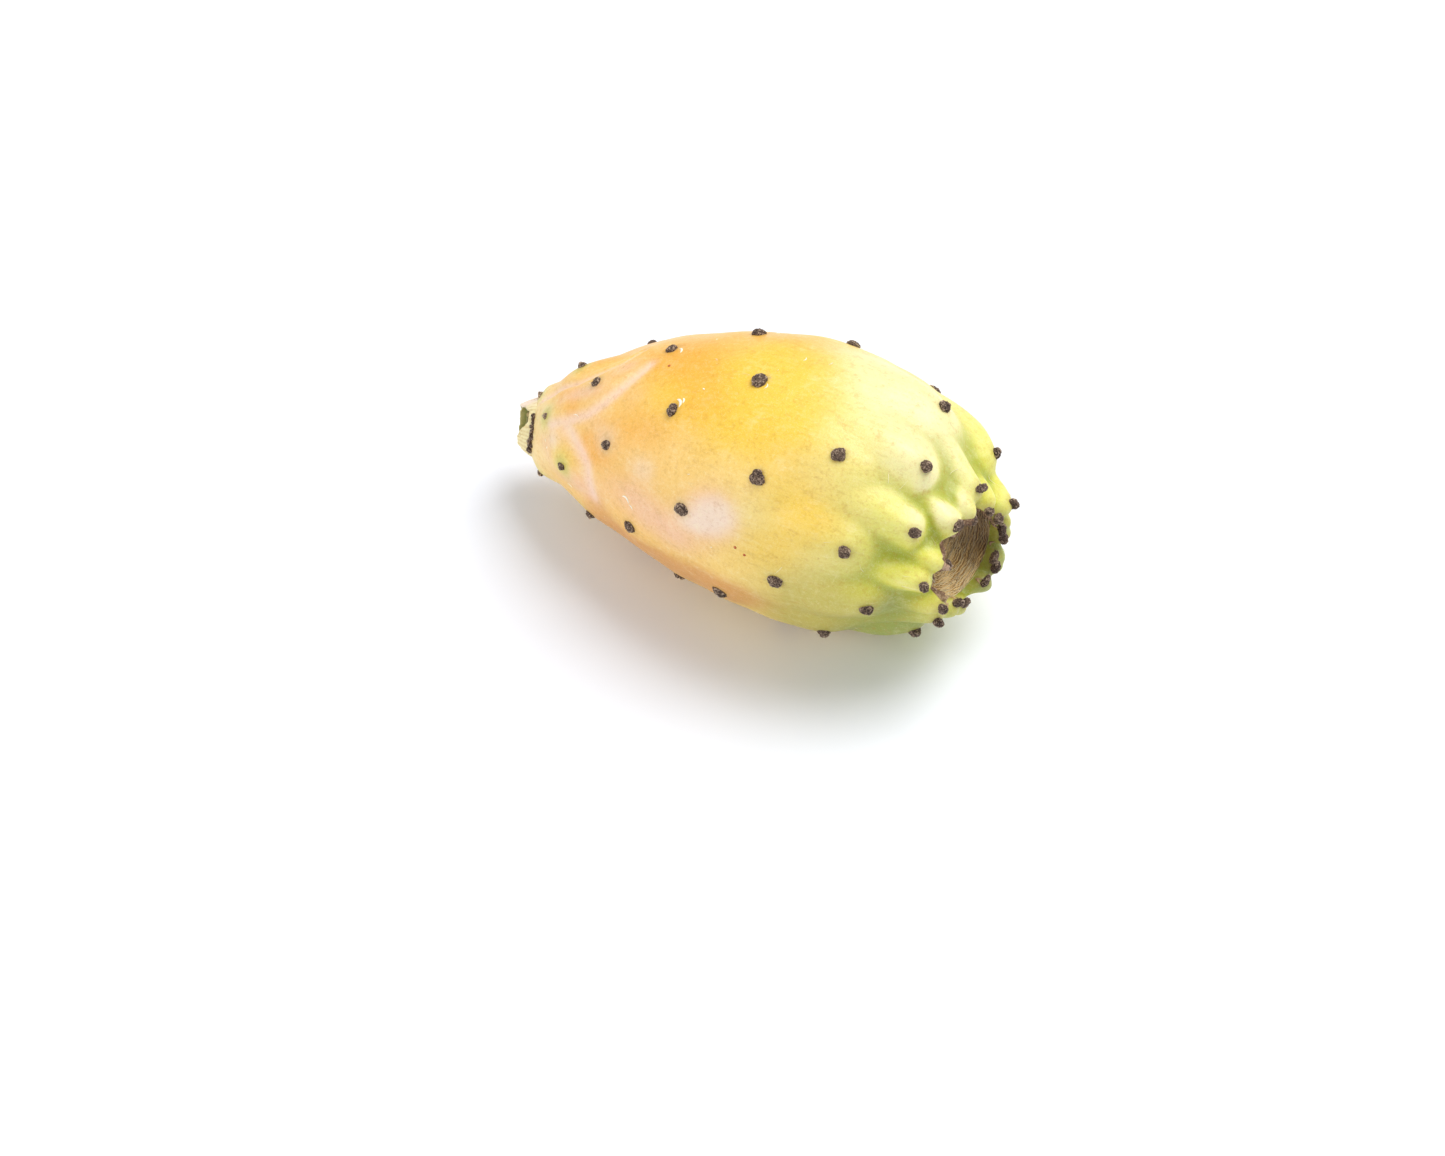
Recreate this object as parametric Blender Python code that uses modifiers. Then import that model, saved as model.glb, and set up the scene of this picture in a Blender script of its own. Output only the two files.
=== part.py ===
# Prickly pear fruit, as picked, lying on its side on a small flat spot.
# Metres, +Z up. The torn stem end is at -X, the flower scar at +X, and the front of the fruit at -Y.
#
# The fruit grew as one piece, so it is one closed body: a turned and slightly bent berry whose skin
# rises in a low mound under each areole, a hollow flower scar in a knobbly crown, a torn stem end,
# and the areoles themselves as small felted knobs.

import math
import random

import bmesh
import bpy
import numpy as np
from mathutils import Matrix, Vector

MM = 0.001

# Driving dimensions. A station is a place along the skin line: 0 where the stem end was torn off,
# 1 at the margin of the flower scar, above 1 in the scar, below 0 on the torn stem.
AXIS_LENGTH = 84.7 * MM
BEND = 4.0 * MM
PITCH = math.radians(7.2)
AXIS_START = Vector((-0.04076, -0.00261, 0.01395))

# Angles round the axis run from the top (0) over the front (90 degrees) to the floor (180).
BEND_TOWARD = math.radians(-49)
SCAR_TILT = math.radians(5.0)
SCAR_TILT_TOWARD = math.radians(4)
SCAR_SHIFT = 1.4 * MM
SCAR_SHIFT_TOWARD = math.radians(112)
SCAR_OVAL = 0.09
SCAR_OVAL_TOWARD = math.radians(-30)
STEM_TILT = math.radians(24)
STEM_TILT_TOWARD = math.radians(41)

# Skin line, from the middle of the flower scar out over the crown and back to the stem:
# station, distance along the axis in mm, radius in mm
SKIN_LINE = (
    (1.20, 76.4, 0.0), (1.15, 76.5, 2.9), (1.10, 77.0, 5.4), (1.05, 78.2, 7.3), (1.02, 79.7, 8.2),
    (1.00, 81.2, 8.5), (0.99, 82.1, 9.2), (0.98, 82.6, 10.1), (0.965, 82.1, 11.3),
    (0.95, 80.8, 12.7), (0.93, 78.8, 14.3), (0.84, 71.1, 19.1), (0.72, 61.0, 22.2),
    (0.58, 49.1, 23.0), (0.42, 35.6, 21.1), (0.27, 22.9, 17.2), (0.15, 12.7, 12.3),
    (0.06, 5.1, 8.4), (0.02, 2.2, 6.6), (0.00, 1.1, 5.4),
    (-0.01, 0.4, 4.4), (-0.02, -0.1, 4.7), (-0.04, -1.0, 4.2), (-0.06, -2.0, 3.5),
    (-0.08, -0.8, 2.8), (-0.10, -0.7, 0.0),
)
# Rings of the mesh between stations: from, to, number
RING_SPANS = (
    (1.20, 1.00, 7), (1.00, 0.93, 9), (0.93, 0.80, 7), (0.80, 0.15, 16), (0.15, 0.00, 6),
    (0.00, -0.02, 2), (-0.02, -0.10, 4),
)
# The cup of peel left round the torn stem: angle in degrees, and how far its edge stands out in mm
TORN_STATION = -0.06
TORN_EDGE = (
    (-180, 1.6), (-130, 2.3), (-80, 2.2), (-45, 2.3), (-28, 2.1), (-8, 1.4), (22, 1.2), (48, 1.5),
    (62, 1.9), (80, 2.3), (98, 2.2), (130, 1.4), (180, 1.6),
)
SEGMENTS = 64

# The areoles stand on one spiral: number n, counted from the stem, at a station and an angle.
FIRST_AREOLE = -5
LAST_AREOLE = 61
SPIRAL_START = math.radians(174)
SPIRAL_STEP = math.radians(99.76)
STATION_START = 0.1241
STATION_STEP = 0.02216
STATION_EASING = -0.00008
STATION_SWAY = -0.0162
SWAY_START = 4.8
SWAY_PERIOD = 37.3
STATION_SLANT = 0.0207
SLANT_TOWARD = math.radians(171)
ANGLE_SWAY = math.radians(2.4)
ANGLE_SWAY_TURN = math.radians(124)
NEAREST_SCAR = 0.988
SCAR_SOFTNESS = 0.026
# A few of them never formed, some grew off the line, by a step along and a turn in degrees.
# The strays stand alone, one where the stem tore and two at the scar: station, angle in degrees.
MISSING_AREOLES = (27, 47, 60)
OFF_THE_LINE = {
    -2: (0.010, 5), -1: (0.022, 1), 5: (-0.021, -2), 31: (-0.015, 2), 34: (0.015, 3),
    38: (0.007, 6), 39: (0.004, -9), 41: (0, -6), 45: (-0.006, -4), 46: (0.001, -8),
    48: (-0.010, 5), 49: (-0.030, -2), 50: (-0.030, 0), 51: (0.030, -1), 52: (-0.004, -4),
    53: (-0.03, -4), 54: (0, -5), 55: (0, 6), 56: (0, -6), 57: (-0.11, 6), 58: (0.03, 0),
    59: (0, -10),
}
STRAY_AREOLES = ((0.002, -28), (0.986, -106), (0.991, -131))
JITTER = 0.06
SEED = 7

# How the mounds and knobs change along the fruit: a row for each station, with, in mm, the mound's
# rise, its reach toward the stem, toward the scar and sideways, then the knob's radius and height.
# The mounds sink by a share of their rise, and the edge says how sharp the valleys between them are.
AREOLE_SIZES = (
    (0.05, 1.00, 3.6, 3.2, 2.3, 0.65, 0.5),
    (0.13, 1.20, 5.5, 5.0, 3.0, 0.88, 0.6),
    (0.30, 0.50, 7.5, 6.5, 4.6, 1.15, 0.7),
    (0.55, 0.30, 8.0, 6.5, 5.0, 1.42, 0.8),
    (0.75, 1.10, 9.0, 4.6, 3.8, 1.34, 0.8),
    (0.87, 2.30, 9.0, 2.6, 2.9, 1.12, 0.9),
    (0.94, 3.20, 6.5, 1.6, 2.3, 1.00, 1.0),
    (0.985, 2.60, 3.6, 1.2, 1.7, 0.92, 1.0),
)
MOUND_SINK = 0.50
MOUND_EDGE = 4.0
FIBRE_HEIGHT = 0.12 * MM
FIBRE_SPACING = 1.9 * MM
KNOB_SIDES = 8
KNOB_RINGS = 4
KNOB_ROOT = 0.9 * MM
CROWN_LEAN = 0.35
NECK_LEAN = 0.6

SKIN_COLOUR = (0.86, 0.62, 0.16, 1)
AREOLE_COLOUR = (0.09, 0.06, 0.045, 1)
SCAR_COLOUR = (0.33, 0.22, 0.12, 1)
STEM_COLOUR = (0.74, 0.66, 0.46, 1)


def smooth(low, high, value):
    """Goes from 0 to 1 as the value goes from low to high, with no corner at either end."""
    share = np.clip((value - low) / (high - low), 0, 1)
    return share * share * (3 - 2 * share)


def held_below(value, limit, softness):
    """Keeps a value below a limit, which it nears along a soft curve."""
    return limit - softness * math.log1p(math.exp((limit - value) / softness))


def skin_line(station):
    """Distance along the axis and radius at a station: a smooth curve through the listed points."""
    knots = np.array(SKIN_LINE[::-1])
    stations, places = knots[:, 0], knots[:, 1:] * MM
    slopes = np.gradient(places, stations, axis=0)
    station = np.asarray(station, float)
    low = np.clip(np.searchsorted(stations, station) - 1, 0, len(stations) - 2)
    span = stations[low + 1] - stations[low]
    share = ((station - stations[low]) / span)[..., None]
    span = span[..., None]
    return (
        (1 + 2 * share) * (1 - share) ** 2 * places[low]
        + share * (1 - share) ** 2 * span * slopes[low]
        + share**2 * (3 - 2 * share) * places[low + 1]
        - share**2 * (1 - share) * span * slopes[low + 1]
    )


def skin_length():
    """Stations of the skin from stem to scar, and the length of skin from the stem to each."""
    stations = np.linspace(0, 1, 401)
    steps = np.diff(skin_line(stations), axis=0)
    return stations, np.concatenate([[0], np.cumsum(np.hypot(steps[:, 0], steps[:, 1]))])


def areoles():
    """Each areole's station, angle, place along the skin, and its mound's and knob's sizes."""
    draw = random.Random(SEED)
    sizes = np.array(AREOLE_SIZES)
    spots = [(station, math.radians(angle)) for station, angle in STRAY_AREOLES]
    for n in range(FIRST_AREOLE, LAST_AREOLE + 1):
        if n in MISSING_AREOLES:
            continue
        sway = STATION_SWAY * math.sin(2 * math.pi * (n - SWAY_START) / SWAY_PERIOD)
        station = STATION_START + STATION_STEP * n + STATION_EASING * n * n + sway
        angle = SPIRAL_START + SPIRAL_STEP * n
        angle += ANGLE_SWAY * math.cos(2 * angle + ANGLE_SWAY_TURN)
        station -= STATION_SLANT * math.cos(angle - SLANT_TOWARD)
        step, turn = OFF_THE_LINE.get(n, (0, 0))
        station = held_below(station + step, NEAREST_SCAR, SCAR_SOFTNESS)
        spots.append((station, angle + math.radians(turn)))
    table = []
    for station, angle in spots:
        along = np.interp(station, *skin_length())
        size = [np.interp(station, sizes[:, 0], column) * MM for column in sizes[:, 1:].T]
        size = [value * (1 + draw.uniform(-JITTER, JITTER)) for value in size]
        table.append((station, angle, along, *size))
    return table


def raised_place(station, angle, rise):
    """World place of a point of the skin that is raised by a height square to the skin line."""
    step = 0.0005
    place = skin_line(station)
    slope = skin_line(np.minimum(station + step, 1.2)) - skin_line(np.maximum(station - step, -0.1))
    slope /= np.maximum(np.hypot(slope[..., 0], slope[..., 1]), 1e-9)[..., None]
    along = place[..., 0] - slope[..., 1] * rise
    radius = place[..., 1] + slope[..., 0] * rise

    scar = smooth(0.86, 0.97, station)
    along = along - math.tan(SCAR_TILT) * radius * np.cos(angle - SCAR_TILT_TOWARD) * scar
    stem = 1 - smooth(0, 0.13, station)
    along = along + math.tan(STEM_TILT) * radius * np.cos(angle - STEM_TILT_TOWARD) * stem
    shift = SCAR_SHIFT * smooth(0.86, 1.0, station)
    squeeze = SCAR_OVAL * smooth(0.86, 1.0, station) * radius * np.cos(angle - SCAR_OVAL_TOWARD)
    up = radius * np.cos(angle) + shift * math.cos(SCAR_SHIFT_TOWARD)
    up = up - squeeze * math.cos(SCAR_OVAL_TOWARD)
    front = radius * np.sin(angle) + shift * math.sin(SCAR_SHIFT_TOWARD)
    front = front - squeeze * math.sin(SCAR_OVAL_TOWARD)

    share = along / AXIS_LENGTH
    bulge = BEND * 4 * share * (1 - share)
    lean = BEND / AXIS_LENGTH * 4 * (1 - 2 * share)
    length = np.sqrt(1 + lean * lean)
    outward = up * math.cos(BEND_TOWARD) + front * math.sin(BEND_TOWARD)
    across = front * math.cos(BEND_TOWARD) - up * math.sin(BEND_TOWARD)
    along = along - outward * lean / length
    outward = bulge + outward / length
    up = outward * math.cos(BEND_TOWARD) - across * math.sin(BEND_TOWARD)
    front = outward * math.sin(BEND_TOWARD) + across * math.cos(BEND_TOWARD)

    x = along * math.cos(PITCH) - up * math.sin(PITCH)
    z = along * math.sin(PITCH) + up * math.cos(PITCH)
    return np.stack([x, -front, z], -1) + np.array(AXIS_START)


def relief(station, angle, spots):
    """Height of the skin over its turned shape: mounds, the ragged edge of the torn stem and fibres
    in the scar."""
    radius = skin_line(station)[:, 1]
    along = np.interp(station, *skin_length())
    sizes = np.array(AREOLE_SIZES)
    fade = smooth(-0.005, 0.03, station) * (1 - smooth(0.995, 1.02, station))
    height = 0
    for _, spot_angle, spot_along, rise, behind, ahead, sideways, _, _ in spots:
        offset = along - spot_along
        reach = np.where(offset < 0, behind, ahead)
        turn = (angle - spot_angle + math.pi) % (2 * math.pi) - math.pi
        mound = rise / MM * np.exp(-0.5 * ((offset / reach) ** 2 + (turn * radius / sideways) ** 2))
        height = height + mound**MOUND_EDGE
    height = height ** (1 / MOUND_EDGE) - MOUND_SINK * np.interp(station, sizes[:, 0], sizes[:, 1])
    edge = np.array(TORN_EDGE)
    turn = (np.degrees(angle) + 180) % 360 - 180
    rag = np.interp(turn, edge[:, 0], edge[:, 1]) + skin_line(TORN_STATION)[0] / MM
    torn = np.abs(station - TORN_STATION) < 0.005
    fibre = smooth(1.02, 1.05, station) * FIBRE_HEIGHT * np.cos(2 * math.pi * radius / FIBRE_SPACING)
    return (height * fade + rag * torn) * MM + fibre


def place_in(name, obj):
    """Puts an object in the named collection, which is made when it is first needed."""
    group = bpy.data.collections.get(name)
    if group is None:
        group = bpy.data.collections.new(name)
        bpy.context.scene.collection.children.link(group)
    group.objects.link(obj)
    return group


def material(name, colour, roughness):
    """A plain Principled material."""
    made = bpy.data.materials.new(name)
    made.use_nodes = True
    shader = made.node_tree.nodes["Principled BSDF"]
    shader.inputs["Base Color"].default_value = colour
    shader.inputs["Roughness"].default_value = roughness
    shader.inputs["Metallic"].default_value = 0
    return made


def turned_berry():
    """The berry's turned shape: the skin line, from the scar's middle to the stem's, turned about Z."""
    stations = [
        start + (end - start) * step / count for start, end, count in RING_SPANS for step in range(count)
    ]
    stations.append(RING_SPANS[-1][1])
    places = skin_line(stations)
    line = bpy.data.meshes.new("skin line")
    points = [(radius, 0, along) for along, radius in places]
    line.from_pydata(points, [(i, i + 1) for i in range(len(points) - 1)], [])
    line.attributes.new("station", "FLOAT", "POINT").data.foreach_set("value", stations)
    berry = bpy.data.objects.new("prickly_pear_fruit", line)
    place_in("Prickly pear fruit", berry)
    turn = berry.modifiers.new("Turn", "SCREW")
    turn.steps = turn.render_steps = SEGMENTS
    turn.use_merge_vertices = True
    turn.merge_threshold = 0.01 * MM
    return berry


def apply_modifiers(obj):
    """Turns an object's modifiers into plain mesh."""
    made = bpy.data.meshes.new_from_object(obj.evaluated_get(bpy.context.evaluated_depsgraph_get()))
    obj.modifiers.clear()
    obj.data = made


def raise_skin(berry, spots):
    """Moves the turned shape's points to the real skin: mounds, bend, tilted scar and torn stem."""
    count = len(berry.data.vertices)
    flat = np.empty(count * 3)
    berry.data.vertices.foreach_get("co", flat)
    turned = flat.reshape(-1, 3)
    station = np.empty(count)
    berry.data.attributes["station"].data.foreach_get("value", station)
    angle = np.arctan2(turned[:, 1], turned[:, 0])
    places = raised_place(station, angle, relief(station, angle, spots))
    berry.data.vertices.foreach_set("co", places.ravel())
    for face in berry.data.polygons:
        middle = sum(station[v] for v in face.vertices) / len(face.vertices)
        face.material_index = 2 if middle > 1 else 3 if middle < -0.008 else 0
    berry.data.update()


def knob(spot, spots, felt):
    """One areole: a low felted dome with its root sunk in the skin."""
    station, angle, _, _, _, _, _, radius, height = spot
    lift = float(relief(np.array([station]), np.array([angle]), spots)[0])
    foot = Vector(raised_place(np.array(station), np.array(angle), np.array(lift)))
    out = Vector(raised_place(np.array(station), np.array(angle), np.array(lift + MM))) - foot
    onward = Vector(raised_place(np.array(station + 0.002), np.array(angle), np.array(lift))) - foot
    lean = CROWN_LEAN * float(smooth(0.85, 0.95, station))
    lean += NECK_LEAN * float(1 - smooth(0.03, 0.14, station))
    out = (out.normalized() + onward.normalized() * lean).normalized()
    shape = bmesh.new()
    bmesh.ops.create_uvsphere(shape, u_segments=KNOB_SIDES, v_segments=KNOB_RINGS, radius=1)
    for vertex in shape.verts:
        vertex.co.x *= radius
        vertex.co.y *= radius
        vertex.co.z = vertex.co.z * (height + KNOB_ROOT) / 2 + (height - KNOB_ROOT) / 2
    turn = out.to_track_quat("Z", "Y").to_matrix().to_4x4()
    bmesh.ops.transform(shape, matrix=Matrix.Translation(foot) @ turn, verts=shape.verts)
    mesh = bpy.data.meshes.new("areole")
    shape.to_mesh(mesh)
    shape.free()
    mesh.materials.append(felt)
    return bpy.data.objects.new("areole", mesh)


def join_areoles(berry, spots, felt):
    """Joins all the areoles to the berry in one union."""
    for spot in spots:
        group = place_in("Areoles", knob(spot, spots, felt))
    union = berry.modifiers.new("Areoles", "BOOLEAN")
    union.operation = "UNION"
    union.operand_type = "COLLECTION"
    union.collection = group
    union.solver = "EXACT"
    union.material_mode = "TRANSFER"
    apply_modifiers(berry)
    for areole in list(group.objects):
        bpy.data.objects.remove(areole)
    bpy.data.collections.remove(group)


def cut_flat_spot(berry):
    """Flattens the berry where it rests, as its own weight does, by a cut at floor level."""
    shape = bmesh.new()
    bmesh.ops.create_cube(shape, size=1)
    bmesh.ops.scale(shape, vec=(60 * MM, 40 * MM, 10 * MM), verts=shape.verts)
    bmesh.ops.translate(shape, vec=(0, 0, -5 * MM), verts=shape.verts)
    mesh = bpy.data.meshes.new("floor")
    shape.to_mesh(mesh)
    shape.free()
    floor = bpy.data.objects.new("floor", mesh)
    floor.hide_render = True
    floor.display_type = "WIRE"
    place_in("Cutters", floor)
    cut = berry.modifiers.new("Flat spot", "BOOLEAN")
    cut.operation = "DIFFERENCE"
    cut.object = floor
    cut.solver = "EXACT"


for old in list(bpy.data.objects):
    bpy.data.objects.remove(old)
spots = areoles()
berry = turned_berry()
apply_modifiers(berry)
felt = material("areole felt", AREOLE_COLOUR, 0.9)
for made in (
    material("skin", SKIN_COLOUR, 0.4),
    felt,
    material("flower scar", SCAR_COLOUR, 0.85),
    material("torn stem", STEM_COLOUR, 0.8),
):
    berry.data.materials.append(made)
raise_skin(berry, spots)
join_areoles(berry, spots, felt)
cut_flat_spot(berry)
berry.data.shade_smooth()
berry.data.set_sharp_from_angle(angle=math.radians(45))
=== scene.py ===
import math
import random

import bpy
import numpy as np
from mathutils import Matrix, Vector


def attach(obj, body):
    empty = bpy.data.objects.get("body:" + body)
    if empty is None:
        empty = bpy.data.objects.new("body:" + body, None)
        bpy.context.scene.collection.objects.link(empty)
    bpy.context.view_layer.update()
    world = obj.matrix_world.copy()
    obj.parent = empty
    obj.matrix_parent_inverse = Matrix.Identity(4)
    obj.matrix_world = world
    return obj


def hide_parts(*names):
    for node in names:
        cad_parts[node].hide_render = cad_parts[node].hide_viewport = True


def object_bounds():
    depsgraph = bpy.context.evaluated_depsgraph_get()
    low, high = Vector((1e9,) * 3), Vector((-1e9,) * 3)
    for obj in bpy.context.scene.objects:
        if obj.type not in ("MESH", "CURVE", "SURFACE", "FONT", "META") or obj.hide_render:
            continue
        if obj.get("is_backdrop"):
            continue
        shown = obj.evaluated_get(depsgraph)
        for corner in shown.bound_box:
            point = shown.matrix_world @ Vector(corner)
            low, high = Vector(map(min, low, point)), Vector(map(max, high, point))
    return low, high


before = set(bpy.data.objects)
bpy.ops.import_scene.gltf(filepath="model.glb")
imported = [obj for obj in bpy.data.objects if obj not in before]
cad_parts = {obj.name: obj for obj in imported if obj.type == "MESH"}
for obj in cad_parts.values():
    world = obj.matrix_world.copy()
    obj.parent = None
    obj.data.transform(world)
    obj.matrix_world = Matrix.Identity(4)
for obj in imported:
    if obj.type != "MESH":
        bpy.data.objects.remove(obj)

cad_low, cad_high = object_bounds()

# The skin is the whole outside of the berry: a thick waxy wall that grew in one piece with the flesh.
# It ripened from the torn stem end toward the crown, and is drawn up in a mound under each areole.
# One skin line is turned round the axis, and the points are then moved to the grown shape.
MM = 0.001
AXIS_LENGTH = 84.7 * MM
BEND = 4.0 * MM
PITCH = math.radians(7.2)
AXIS_START = np.array((-0.04076, -0.00261, 0.01395))
BEND_TOWARD = math.radians(-49)
SCAR_TILT = math.radians(5.0)
SCAR_TILT_TOWARD = math.radians(4)
SCAR_SHIFT = 1.4 * MM
SCAR_SHIFT_TOWARD = math.radians(112)
SCAR_OVAL = 0.09
SCAR_OVAL_TOWARD = math.radians(-30)
STEM_TILT = math.radians(24)
STEM_TILT_TOWARD = math.radians(41)
# Stations where the tilt of the scar starts and is full, where its shift is full, and where the tilt
# of the stem end stops
SCAR_TILT_FROM = 0.86
SCAR_TILT_FULL = 0.97
SCAR_SHIFT_FULL = 1.0
STEM_TILT_STOPS = 0.13

# Skin line: station (0 at the stem, 1 at the margin of the scar), distance along the axis and radius
# in mm
SKIN_LINE = (
    (1.20, 76.4, 0.0), (1.15, 76.5, 2.9), (1.10, 77.0, 5.4), (1.05, 78.2, 7.3), (1.02, 79.7, 8.2),
    (1.00, 81.2, 8.5), (0.99, 82.1, 9.2), (0.98, 82.6, 10.1), (0.965, 82.1, 11.3),
    (0.95, 80.8, 12.7), (0.93, 78.8, 14.3), (0.84, 71.1, 19.1), (0.72, 61.0, 22.2),
    (0.58, 49.1, 23.0), (0.42, 35.6, 21.1), (0.27, 22.9, 17.2), (0.15, 12.7, 12.3),
    (0.06, 5.1, 8.4), (0.02, 2.2, 6.6), (0.00, 1.1, 5.4),
    (-0.01, 0.4, 4.4), (-0.02, 0.0, 4.2), (-0.04, -0.5, 3.6), (-0.06, -0.7, 2.6),
    (-0.08, -0.8, 1.2), (-0.10, -0.8, 0.0),
)
SKIN_RINGS = (
    (1.20, 1.00, 12), (1.00, 0.93, 46), (0.93, 0.80, 60), (0.80, 0.15, 118), (0.15, 0.00, 34),
    (0.00, -0.10, 10),
)
SKIN_SEGMENTS = 330
UNDER_SCAR = 0.6 * MM

# The areoles stand on one spiral, numbered from the stem
FIRST_AREOLE = -5
LAST_AREOLE = 61
SPIRAL_START = math.radians(174)
SPIRAL_STEP = math.radians(99.76)
STATION_START = 0.1241
STATION_STEP = 0.02216
STATION_EASING = -0.00008
STATION_SWAY = -0.0162
SWAY_START = 4.8
SWAY_PERIOD = 37.3
STATION_SLANT = 0.0207
SLANT_TOWARD = math.radians(171)
ANGLE_SWAY = math.radians(2.4)
ANGLE_SWAY_TURN = math.radians(124)
NEAREST_SCAR = 0.988
SCAR_SOFTNESS = 0.026
MISSING_AREOLES = (27, 47, 60)
OFF_THE_LINE = {
    -2: (0.010, 5), -1: (0.022, 1), 5: (-0.021, -2), 31: (-0.015, 2), 34: (0.015, 3),
    38: (0.007, 6), 39: (0.004, -9), 41: (0, -6), 45: (-0.006, -4), 46: (0.001, -8),
    48: (-0.010, 5), 49: (-0.030, -2), 50: (-0.030, 0), 51: (0.030, -1), 52: (-0.004, -4),
    53: (-0.03, -4), 54: (0, -5), 55: (0, 6), 56: (0, -6), 57: (-0.11, 6), 58: (0.03, 0),
    59: (0, -10),
}
STRAY_AREOLES = ((0.002, -28), (0.986, -106), (0.991, -131))
JITTER = 0.06

# A row for each station, in mm: the mound's rise, its reach toward the stem, toward the scar and
# sideways, then the knob's radius and height
AREOLE_SIZES = (
    (0.05, 1.00, 3.6, 3.2, 2.3, 0.65, 0.5),
    (0.13, 1.20, 5.5, 5.0, 3.0, 0.88, 0.6),
    (0.30, 0.50, 7.5, 6.5, 4.6, 1.15, 0.7),
    (0.55, 0.30, 8.0, 6.5, 5.0, 1.42, 0.8),
    (0.75, 1.10, 9.0, 4.6, 3.8, 1.34, 0.8),
    (0.87, 2.30, 9.0, 2.6, 2.9, 1.12, 0.9),
    (0.94, 3.20, 6.5, 1.6, 2.3, 1.00, 1.0),
    (0.985, 2.60, 3.6, 1.2, 1.7, 0.92, 1.0),
)
MOUND_SINK = 0.50
MOUND_EDGE = 4.0

# Creases that run down from the neck: the station and angle in degrees of points along each, then
# its depth and half width in mm
CREASES = (
    (((0.004, -3), (0.07, -1), (0.142, 5), (0.186, 2), (0.226, -4), (0.26, -14)), 0.45, 0.5),
    (((0.07, 43), (0.128, 40), (0.192, 34), (0.228, 27), (0.254, 20), (0.278, 12), (0.30, 2)), 0.28, 0.9),
    (((0.13, 42), (0.158, 50), (0.188, 60), (0.206, 67), (0.21, 76), (0.214, 88)), 0.22, 1.1),
    (((0.02, -75), (0.09, -68), (0.16, -72), (0.22, -66)), 0.40, 0.6),
    (((0.01, -140), (0.08, -132), (0.15, -138), (0.24, -128)), 0.35, 0.8),
    (((0.03, 140), (0.10, 146), (0.17, 138), (0.22, 142)), 0.35, 0.8),
)
# The swelling beside a crease: share of its depth, how far out it runs and its reach, in half widths
CREASE_SWELL = 0.25
CREASE_SWELL_OUT = 2.6
CREASE_SWELL_REACH = 1.4
# Slow waves all over the skin: height in mm, turns along the fruit and round it, start, how many
# times it fades out in a turn, and where
SKIN_WAVES = ((0.10, 9.0, 2, 0.0, 3, 1.0), (0.07, 17.0, 5, 0.7, 0, 0.0))

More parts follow.
